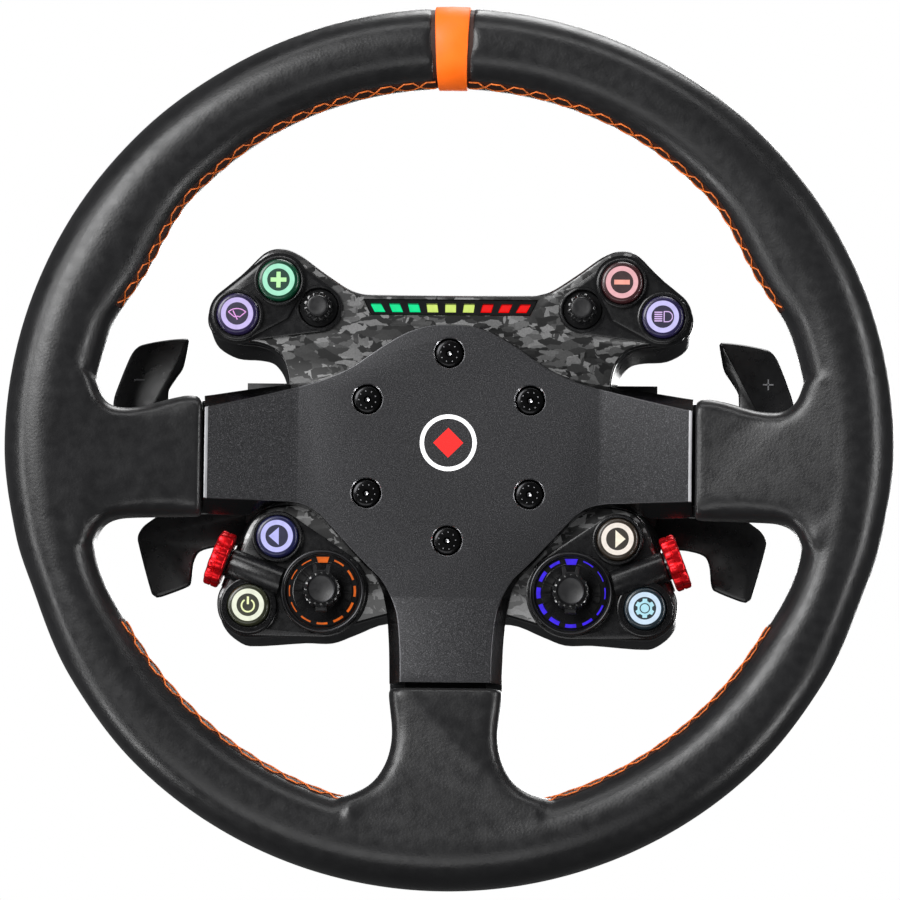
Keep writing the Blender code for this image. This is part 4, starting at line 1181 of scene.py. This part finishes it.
def build_inserts(side, word):
    discs, holes = openings(side, UPPER_BUTTONS, STICK, STICK_WELL + 1.3, STICK_WELL)
    island(f"island_upper_{word}", discs, holes, f"insert_upper_{word}")
    plus_x, plus_z = UPPER_BUTTONS["plus"]
    wiper_x, wiper_z = UPPER_BUTTONS["wiper"]
    pad = hull([(side * plus_x, plus_z, 9.6), (side * wiper_x, wiper_z, 9.9), (side * 62.4, 50.0, 2.6)])
    groove = ((1.0, -67.5), (1.0, INSERT_FRONT - 0.05))
    raised = ((0.0, -67.5), (0.0, -68.35), (-0.15, -68.65), (-0.5, -68.8))
    for piece, steps, look in (("button_groove", groove, GLOSS), ("button_pad", raised, POD)):
        build = Build(f"{piece}_{word}")
        build.skin(stack(pad, steps), look)
        made = build.finish("wheel", "pod_black", smooth=30.0)
        carve(made, [bore(KEY_HOLE, side * x, z, INSERT_CUT, 72) for x, z in UPPER_BUTTONS.values()])
    build = Build(f"stick_well_{word}")
    well = (side * STICK[0], 0.0, STICK[1])
    floor = (
        (4.9, -66.75), (7.5, -66.75), (7.5, -67.6), (7.35, -67.98), (7.0, -67.7), (6.9, -67.0),
        (4.9, -67.0),
    )
    bands = [GLOSS] * 2 + [POD, RIM_LINE] + [GLOSS] * 3
    build.lathe(floor, well, segments=72, loop=True, bands=bands)
    back = INSERT_FRONT + 0.1
    front = INSERT_FRONT - 0.14
    edge = ((8.4, back), (8.75, back), (8.7, front), (8.5, front))
    build.lathe(edge, well, segments=72, loop=True, material=RIM_LINE)
    build.finish("wheel", "pod_black", smooth=30.0)
    discs, holes = openings(side, LOWER_BUTTONS, DIAL, 16.9, DIAL_HOLE)
    lower = island(f"island_lower_{word}", discs, holes, f"insert_lower_{word}")
    carve(lower, [wheel_bore(side, 1.0)])
    for name, (x, z) in (*UPPER_BUTTONS.items(), *LOWER_BUTTONS.items()):
        collar(side * x, z, COLLAR_RADII[name], f"{name}_{word}", name == "power")

    centre = wheel_centre(side)
    axis = wheel_axis(side)
    across = axis.cross(Vector((0.0, 1.0, 0.0)))
    build = Build(f"encoder_hump_{word}")
    rings = []
    for along, radius in ((-3.8, 5.3), (-4.05, 5.7), (-4.4, 5.85), (-24.6, 5.85)):
        ring = []
        for reach in (radius, 4.0):
            arch = []
            dip = math.asin((INSERT_BACK - 0.2 - centre.y) / reach)
            for index in range(33):
                angle = -dip + (math.pi + 2 * dip) * index / 32
                rise = Vector((0.0, -reach * math.sin(angle), 0.0))
                arch.append(centre + axis * along + across * reach * math.cos(angle) + rise)
            ring += arch if reach == radius else arch[::-1]
        rings.append(ring)
    build.skin(rings, POD)
    hump = build.finish("wheel", "pod_black", smooth=30.0)
    carve(hump, [bore(radius + 0.3, x, z, INSERT_CUT, 72, POD) for x, z, radius in holes])


# ---------------------------------------------------------------- controls

# Display colours of each key: cap, ring of light, and symbol.
TINTS = {
    "plus_left": ((10, 52, 36), (165, 236, 203), (190, 255, 175)),
    "minus_right": ((52, 30, 32), (234, 176, 182), (252, 168, 152)),
    "wiper_left": ((36, 30, 58), (201, 186, 240), (236, 165, 238)),
    "beam_right": ((34, 30, 58), (200, 194, 246), (222, 190, 246)),
    "arrow_left": ((26, 28, 58), (190, 190, 248), (184, 184, 250)),
    "arrow_right": ((44, 38, 32), (240, 230, 220), (255, 241, 220)),
    "power_left": ((40, 42, 30), (233, 237, 216), (242, 252, 190)),
    "menu_right": ((26, 36, 42), (205, 226, 246), (176, 226, 240)),
}


def stroke(build, points, width, depth, material):
    """Flat line of a given width through the points, facing the driver."""
    for here, there in zip(points, points[1:]):
        start = Vector(here)
        end = Vector(there)
        ahead = (end - start).normalized()
        side = Vector((-ahead.y, ahead.x)) * width / 2
        start = start - ahead * width * 0.25
        end = end + ahead * width * 0.25
        outline = [tuple(point) for point in (start + side, end + side, end - side, start - side)]
        build.slab(outline, depth, depth + PRINT, material)


def arc(x, z, radius, start, end, steps=16):
    return [spot(x, z, radius, start + (end - start) * index / steps) for index in range(steps + 1)]


def icon(build, kind, x, z, material):
    """Plain symbol on a key."""
    depth = CAP_FRONT - 0.02

    def moved(points):
        return [(x + a, z + b) for a, b in points]

    def solid(points):
        build.slab(moved(points), depth, depth + PRINT, material)

    def line(points, width=0.36):
        stroke(build, moved(points), width, depth, material)

    if kind == "plus":
        end = 2.95
        half = 0.78
        arms = [(half, half), (half, end), (-half, end), (-half, half), (-end, half), (-end, -half)]
        solid(arms + [(-across, -up) for across, up in arms])
    elif kind == "minus":
        solid(((2.9, 0.88), (-2.9, 0.88), (-2.9, -0.88), (2.9, -0.88)))
    elif kind == "wiper":
        line(arc(0.0, -2.9, 4.75, 47, 133, 14))
        line(((-3.2, 0.55), (-1.0, -1.3)))
        line(((3.2, 0.55), (1.0, -1.3)))
        line(arc(0.0, -3.2, 2.15, 62, 118, 6))
        line(((-1.5, 1.0), (0.1, -2.2)), 0.42)
    elif kind == "beam":
        for row in range(5):
            line(((-3.0, 1.62 - 0.81 * row), (-0.3, 1.62 - 0.81 * row)), 0.44)
        line([(0.5, 1.9)] + arc(1.7, 0.0, 1.9, 90, -90, 14) + [(0.5, -1.9), (0.5, 1.9)])
    elif kind == "arrow_left":
        solid(((-3.0, 0.0), (0.75, 3.3), (0.75, -3.3)))
    elif kind == "arrow_right":
        solid(((3.0, 0.0), (-0.75, 3.3), (-0.75, -3.3)))
    elif kind == "power":
        line(arc(0.0, -0.25, 2.35, 125, 415, 26), 0.6)
        line(((0.0, 2.9), (0.0, 0.4)), 0.8)
    elif kind == "menu":
        outline = []
        for tooth in range(6):
            for turn, reach in ((-19.0, 2.75), (-13.0, 3.65), (13.0, 3.65), (19.0, 2.75)):
                outline.append(spot(0.0, 0.0, reach, 90.0 + 60.0 * tooth + turn))
        solid(outline)


def build_button(side, word, name, x, z):
    label = name if side < 0 else RIGHT_NAMES[name]
    tint, glow, sign = TINTS[f"{label}_{word}"]
    cap = Look(f"cap_{label}_{word}", linear(*tint), roughness=0.28, coat=0.2)
    cap.glow(linear(*tint), 0.35)
    cap.vary(300.0, 0.7, 1.3)
    cap.bump(cap.noise(900.0, 2.0), 0.04, 0.05)
    disc = Look(f"disc_{label}_{word}", linear(*[28 + value * 0.55 for value in tint]), roughness=0.3)
    disc.glow(linear(*[28 + value * 0.5 for value in tint]), 0.45)
    disc.vary(400.0, 0.8, 1.2)
    halo = lit(f"halo_{label}_{word}", linear(*glow))
    mark = lit(f"sign_{label}_{word}", linear(*sign))
    front = CAP_FRONT
    build = Build(f"key_{label}_{word}")
    profile = (
        (0.02, front + 0.02), (4.2, front + 0.02), (4.22, front), (6.0, front), (6.02, front + 0.03),
        (6.75, front + 0.06), (7.25, front + 0.25), (7.55, front + 0.6), (7.7, front + 1.1),
        (7.7, front + 4.0), (5.5, front + 4.0), (5.5, FASCIA_BACK + 0.6), (6.3, FASCIA_BACK + 0.6),
        (6.3, FASCIA_BACK + 1.8),
    )
    body = cap.material
    bands = [disc.material, disc.material, halo, halo] + [body] * 9
    build.lathe(profile, (side * x, 0.0, z), segments=72, bands=bands)
    icon(build, f"arrow_{word}" if label == "arrow" else label, side * x, z, mark)
    if label == "menu":
        ring = ((1.55, front - 0.03), (1.95, front - 0.03), (1.95, front), (1.55, front))
        build.lathe(ring, (side * x, 0.0, z), segments=32, loop=True, material=disc.material)
    finish_node(build, f"button_{label}_{word}")


def build_stick(side, word):
    x = side * STICK[0]
    z = STICK[1]
    pivot = STICK_PIVOT_Y
    build = Build(f"stick_cap_{word}")
    profile = (
        (0.02, pivot - 15.42), (2.6, pivot - 15.48), (3.35, pivot - 15.6), (3.75, pivot - 15.5),
        (3.98, pivot - 15.1), (4.0, pivot - 13.6), (1.8, pivot - 13.6), (1.8, pivot + 3.0),
    )
    build.lathe(profile, (x, 0.0, z), segments=56, bands=[CAP_TOP] * 2 + [KNOB] * 5)
    finish_node(build, f"stick_stem_{word}")

    def teeth(angle, radius):
        if radius < 5.0:
            return 0.0
        return -0.5 * (0.5 + 0.5 * math.tanh(6.0 * math.cos(STICK_TEETH * angle)))

    build = Build(f"stick_grip_{word}")
    profile = (
        (2.1, pivot - 13.2), (4.3, pivot - 13.3), (5.1, pivot - 13.1), (5.5, pivot - 12.6),
        (5.5, pivot - 9.0), (5.0, pivot - 8.4), (2.1, pivot - 8.4),
    )
    build.lathe(profile, (x, 0.0, z), segments=144, loop=True, material=GLOSS, shape=teeth)
    finish_node(build, f"stick_collar_{word}")


def build_dial(side, word):
    x = side * DIAL[0]
    z = DIAL[1]
    centre = (x, 0.0, z)
    base = INSERT_BACK
    build = Build(f"dial_housing_{word}")
    profile = (
        (4.0, base), (15.6, base), (15.6, base - 4.0), (15.5, base - 4.35), (15.25, base - 4.6),
        (14.95, base - 4.7), (14.6, base - 4.62), (14.45, base - 4.4), (14.3, base - 4.42),
        (14.15, base - 4.65), (13.9, base - 4.66), (13.72, base - 4.4), (13.5, base - 2.9),
        (11.2, base - 2.9), (11.2, base - 3.3), (10.9, base - 3.45), (9.0, base - 2.2),
        (7.2, base - 1.45), (6.5, base - 1.2), (4.0, base - 1.2),
    )
    bands = [POD] * 2 + [GLOSS] * 2 + [RIM_LINE] * 2 + [GLOSS] * 3 + [RIM_LINE] * 2 + [GLOSS] * 9
    build.lathe(profile, centre, segments=112, loop=True, bands=bands)
    build.finish("wheel", "bezel_black", (f"dial_bezel_{word}",), smooth=24.0)

    colour = (214, 96, 22) if side < 0 else (62, 38, 236)
    lamp = lit(f"dial_lamp_{word}", linear(*colour), 0.9, 0.25)
    build = Build(f"dial_segments_{word}")
    base_ring = ((11.3, base - 3.0), (13.1, base - 3.0), (13.1, base - 3.5), (11.3, base - 3.5))
    build.lathe(base_ring, centre, segments=96, loop=True, material=GLOSS)
    for index in range(1, 12):
        middle = 90.0 + 30.0 * index
        inward = -side * math.cos(math.radians(middle)) - 0.5 * math.sin(math.radians(middle))
        outer, deep = (12.5, 0.6 + 0.25 * inward) if side < 0 else (12.9, 1.0 + 0.55 * inward)
        start = middle - DASH_HALF
        end = middle + DASH_HALF
        outline = arc(x, z, outer, start, end, 10) + arc(x, z, outer - deep, end, start, 10)
        build.slab(outline, base - 3.75, base - 3.4, lamp)
    outline = [(x - 2.4, z + 12.7), (x + 2.4, z + 12.7), (x + 1.7, z + 10.6), (x - 1.7, z + 10.6)]
    build.slab(outline, base - 4.05, base - 3.4, lamp)
    build.finish("wheel", slot_of(f"dial_light_{word}"), (f"dial_light_{word}",), smooth=24.0)

    front = base - 14.3
    build = Build(f"dial_grip_{word}")

    def notches(angle, radius):
        if radius < 6.0:
            return 0.0
        return -0.42 * (0.5 + 0.5 * math.tanh(5.0 * (math.cos(DIAL_NOTCHES * angle) - 0.55)))

    profile = (
        (0.02, front + 0.12), (4.5, front + 0.12), (4.75, front), (5.15, front), (5.3, front + 0.2),
        (5.3, front + 0.95), (6.3, front + 1.05), (6.75, front + 1.4), (6.8, front + 1.9),
        (6.8, base - 2.8), (3.3, base - 2.8), (3.3, base - 9.9),
    )
    bands = [CAP_TOP] + [RIM_LINE] * 3 + [GLOSS] * 4 + [KNOB] * 3
    build.lathe(profile, centre, segments=160, bands=bands, shape=notches)
    fork = mirrored(((-2.9, 4.7), (-3.3, 9.2), (-2.1, 9.3), (-1.5, 7.2)))
    heel = ((-2.0, -8.2), (-2.0, -4.9), (2.0, -4.9), (2.0, -8.2))
    for shape, depth in ((fork, 1.5), (heel, 1.9)):
        outline = [(x + across, z + up) for across, up in shape]
        top = front + depth
        build.skin(stack(outline, ((-0.3, top), (0.0, top + 0.35), (0.0, top + 4.2))), SHELL)
    finish_node(build, f"dial_knob_{word}")


def build_thumbwheel(side, word):
    centre = wheel_centre(side)
    axis = wheel_axis(side)

    def scallops(angle, radius):
        if radius < 8.0:
            return 0.0
        return -0.55 + 0.55 * math.tanh(1.8 * math.cos(WHEEL_SCALLOPS * angle)) / math.tanh(1.8)

    profile = (
        (2.2, 2.4), (6.6, 2.4), (7.0, 2.9), (9.3, 3.0), (10.1, 2.75), (10.5, 2.2), (10.5, 0.35),
        (10.2, 0.15), (10.2, -0.15), (10.5, -0.35), (10.5, -2.2), (10.1, -2.75), (9.3, -3.0),
        (5.4, -3.0), (5.2, -3.6), (2.0, -3.6), (2.0, -11.0),
    )
    across = Vector((-axis.z, 0.0, axis.x))
    bracket = Build(f"wheel_bracket_{word}")
    rings = []
    for depth, inset in ((-61.3, 0.6), (-60.7, 0.0), (-52.0, 0.0)):
        corners = []
        for along, wide in ((-3.5, -8.6), (-3.5, 8.6), (-9.5, 8.6), (-9.5, -8.6)):
            reach = along - inset if along > -5.0 else along
            corner = centre + axis * reach + across * (wide - math.copysign(inset, wide))
            corners.append((corner.x, depth, corner.z))
        rings.append(corners)
    bracket.skin(rings, SHELL)
    bracket.finish("wheel", "shell_black", smooth=30.0)
    build = Build(f"red_wheel_{word}")
    bands = [STEEL] + [RED] * 12 + [GLOSS] * 3
    build.lathe(profile, centre, axis, 160, bands=bands, shape=scallops)
    build.finish(f"thumbwheel_{word}", "wheel_red", (f"thumbwheel_{word}",), smooth=40.0)


def build_paddles(side, word):
    blades = (("shift", SHIFT_PADDLE, -8.0, 21.7), ("clutch", CLUTCH_PADDLE, -21.6, -11.8))
    for kind, source, low, high in blades:
        fine = curve(flipped(source, side), 4, 50.0)
        build = Build(f"{kind}_blade_{word}")
        front = PIN_Y - 1.5
        steps = (
            (-1.3, front), (-0.5, front + 0.3), (-0.05, front + 0.95), (0.0, front + 1.4),
            (0.0, front + 2.4), (-0.5, front + 3.0),
        )
        build.skin(stack(fine, steps), PADDLE)
        standing = []
        for height, reach in ((low, 4.6), (low + 0.4, 5.0), (high - 0.4, 5.0), (high, 4.6)):
            ring = []
            for index in range(32):
                angle = 2 * math.pi * index / 32
                x = side * PIN_X + reach * math.cos(angle)
                ring.append((x, PIN_Y + reach * math.sin(angle), height))
            standing.append(ring)
        build.skin(standing, PADDLE)
        if kind == "shift":
            x = side * 118.5
            z = 28.2
            depth = front - 0.02
            stroke(build, ((x - 1.9, z), (x + 1.9, z)), 0.5, depth, MARK)
            if side > 0:
                stroke(build, ((x, z - 1.9), (x, z + 1.9)), 0.5, depth, MARK)
        build.finish(f"{kind}_paddle_{word}", "paddle_black", (f"{kind}_paddle_{word}",), smooth=28.0)
    softened(f"paddle_carrier_{word}", CARRIER, 0.5, "wheel", "carrier_black")


def build_release():
    build = Build("release_body")
    profile = (
        (41.6, -62.1), (42.0, -61.7), (42.0, -56.4), (41.6, -56.0), (28.4, -56.0), (28.0, -55.6),
        (28.0, -36.0), (27.6, -35.8), (27.6, -35.0), (28.0, -34.8), (28.0, -12.0), (27.5, -11.6),
        (27.5, -10.6), (28.0, -10.2), (28.0, -2.0), (26.0, 0.0), (18.2, 0.0), (17.0, -1.2),
        (17.0, -7.0), (17.6, -7.3), (17.6, -8.6), (17.0, -8.9), (17.0, -24.0),
    )
    build.lathe(profile, (0.0, 0.0, 0.0), segments=120, material=RELEASE)
    body = build.finish("wheel", "qr_black", ("quick_release_body",), smooth=24.0)
    centres = [spot(0.0, 0.0, 23.0, 60.0 * index) for index in range(6)]
    carve(body, [bore(2.1, x, z, (-0.6, 3.0), 24, STEEL) for x, z in centres])
    shade(body.data, 24.0)

    def scallops(angle, radius):
        if radius < 33.0:
            return 0.0
        return -1.6 * max(0.0, math.cos(SLEEVE_SCALLOPS * angle + math.pi)) ** 6

    build = Build("release_ring")
    profile = (
        (28.3, -33.6), (28.7, -34.0), (33.2, -34.0), (34.0, -33.2), (34.0, -20.2), (34.0, -20.0),
    )
    for groove in range(8):
        start = -19.6 + 0.6 * groove
        profile += ((33.4, start), (33.9, start + 0.3))
    profile += ((33.2, -14.0), (28.7, -14.0), (28.3, -14.4))
    build.lathe(profile, (0.0, 0.0, 0.0), segments=192, loop=True, material=SLEEVE, shape=scallops)
    build.finish("release_sleeve", "sleeve_alu", ("release_sleeve",), smooth=24.0)


# ---------------------------------------------------------------- CAD nodes that stay


def dress(name, material):
    data = nodes[name].data
    data.materials.clear()
    data.materials.append(material)


def dress_nodes():
    dress("rim_core", CORE)
    dress("circuit_board", BOARD)
    dress("light_bar_mask", GLOSS)
    dress("light_bar_green", lit("lamp_green", linear(0, 226, 142)))
    dress("light_bar_yellow", lit("lamp_yellow", linear(204, 228, 112)))
    dress("light_bar_red", lit("lamp_red", linear(232, 8, 6)))
    for word in ("left", "right"):
        dress(f"encoder_{word}", CARRIER)
        for stem in ("paddle_pin", "stick_gimbal", "dial_shaft"):
            dress(f"{stem}_{word}", STEEL)


build_leather()
build_stitches()
build_plate()
build_emblem()
build_shell()
build_fascias()
for side, word in SIDES:
    build_inserts(side, word)
    for name, (x, z) in (*UPPER_BUTTONS.items(), *LOWER_BUTTONS.items()):
        build_button(side, word, name, x, z)
    build_stick(side, word)
    build_dial(side, word)
    build_thumbwheel(side, word)
    build_paddles(side, word)
build_release()
dress_nodes()

# ---------------------------------------------------------------- studio

# The camera stands a little below and to the right of the axis, as in the photograph.
CAMERA_TARGET = Vector((0.0005, -0.068, -0.00075))
CAMERA_DISTANCE = 3.2
CAMERA_ELEVATION = math.radians(-5.5)
CAMERA_AZIMUTH = math.radians(2.4)
CAMERA_ROLL = math.radians(0.7)
FRAME_WIDTH = 0.3350
FLOOR_Z = -1.0
FLOOR_HALF = 30000.0


def build_studio():
    world = bpy.data.worlds.new("studio")
    scene.world = world
    world.use_nodes = True
    tree = world.node_tree
    ambient = tree.nodes["Background"]
    paper = tree.nodes.new("ShaderNodeBackground")
    for node, colour, strength in ((ambient, (0.95, 0.97, 1.0), 0.05), (paper, (1.0, 1.0, 1.0), 1.0)):
        node.inputs["Color"].default_value = (*colour, 1.0)
        node.inputs["Strength"].default_value = strength
    path = tree.nodes.new("ShaderNodeLightPath")
    blend = tree.nodes.new("ShaderNodeMixShader")
    tree.links.new(path.outputs["Is Camera Ray"], blend.inputs["Fac"])
    tree.links.new(ambient.outputs["Background"], blend.inputs[1])
    tree.links.new(paper.outputs["Background"], blend.inputs[2])
    tree.links.new(blend.outputs["Shader"], tree.nodes["World Output"].inputs["Surface"])

    # Name, place in metres, width, height and power in watts of each lamp.
    lights = (
        ("key", (-1.0, -1.6, 0.75), 1.0, 1.0, 34.0),
        ("top", (0.0, -0.7, 1.2), 1.5, 0.25, 5.0),
        ("left", (-1.25, -0.72, 0.1), 0.28, 1.4, 9.5),
        ("right", (1.28, -0.62, 0.15), 0.2, 1.2, 10.0),
        ("fill", (-0.3, -1.5, -0.8), 1.2, 0.6, 5.0),
        ("edge_left", (-1.04, -0.37, -0.78), 0.25, 0.25, 3.0),
        ("edge_right", (1.04, -0.37, -0.78), 0.25, 0.25, 3.0),
        ("rear", (0.2, 0.9, 1.5), 0.9, 0.9, 16.0),
        ("back", (0.3, 1.9, 0.45), 1.2, 1.0, 26.0),
    )
    aim = Vector((0.0, -0.05, 0.0))
    for name, location, width, height, power in lights:
        data = bpy.data.lights.new(name, "AREA")
        data.shape = "RECTANGLE"
        data.size = width
        data.size_y = height
        data.energy = power
        light = bpy.data.objects.new(name, data)
        light.location = location
        light.rotation_euler = (Vector(location) - aim).to_track_quat("Z", "Y").to_euler()
        scene.collection.objects.link(light)

    floor = Build("floor")
    outline = ((-1, -1), (1, -1), (1, 1), (-1, 1))
    corners = [floor.mesh.verts.new((x * FLOOR_HALF, y * FLOOR_HALF, FLOOR_Z / MM)) for x, y in outline]
    sheet = Look("floor_paper", (0.7, 0.7, 0.71), roughness=0.8)
    sheet.vary(6.0, 0.98, 1.02)
    sheet.glow((0.9, 0.9, 0.91), 0.6)
    floor.face(corners, sheet.material)
    ground = floor.finish(None)
    ground.visible_diffuse = False
    ground.visible_glossy = False

    data = bpy.data.cameras.new("camera")
    data.sensor_width = 36.0
    data.lens = data.sensor_width * CAMERA_DISTANCE / FRAME_WIDTH
    data.clip_start = 0.1
    data.clip_end = 100.0
    camera = bpy.data.objects.new("camera", data)
    scene.collection.objects.link(camera)
    back = Vector((
        math.sin(CAMERA_AZIMUTH) * math.cos(CAMERA_ELEVATION),
        -math.cos(CAMERA_AZIMUTH) * math.cos(CAMERA_ELEVATION),
        math.sin(CAMERA_ELEVATION),
    ))
    turn = (-back).to_track_quat("-Z", "Y").to_matrix().to_4x4()
    spin = Matrix.Rotation(CAMERA_ROLL, 4, "Z")
    camera.matrix_world = Matrix.Translation(CAMERA_TARGET + back * CAMERA_DISTANCE) @ turn @ spin
    scene.camera = camera
    scene.view_settings.view_transform = "Standard"


build_studio()
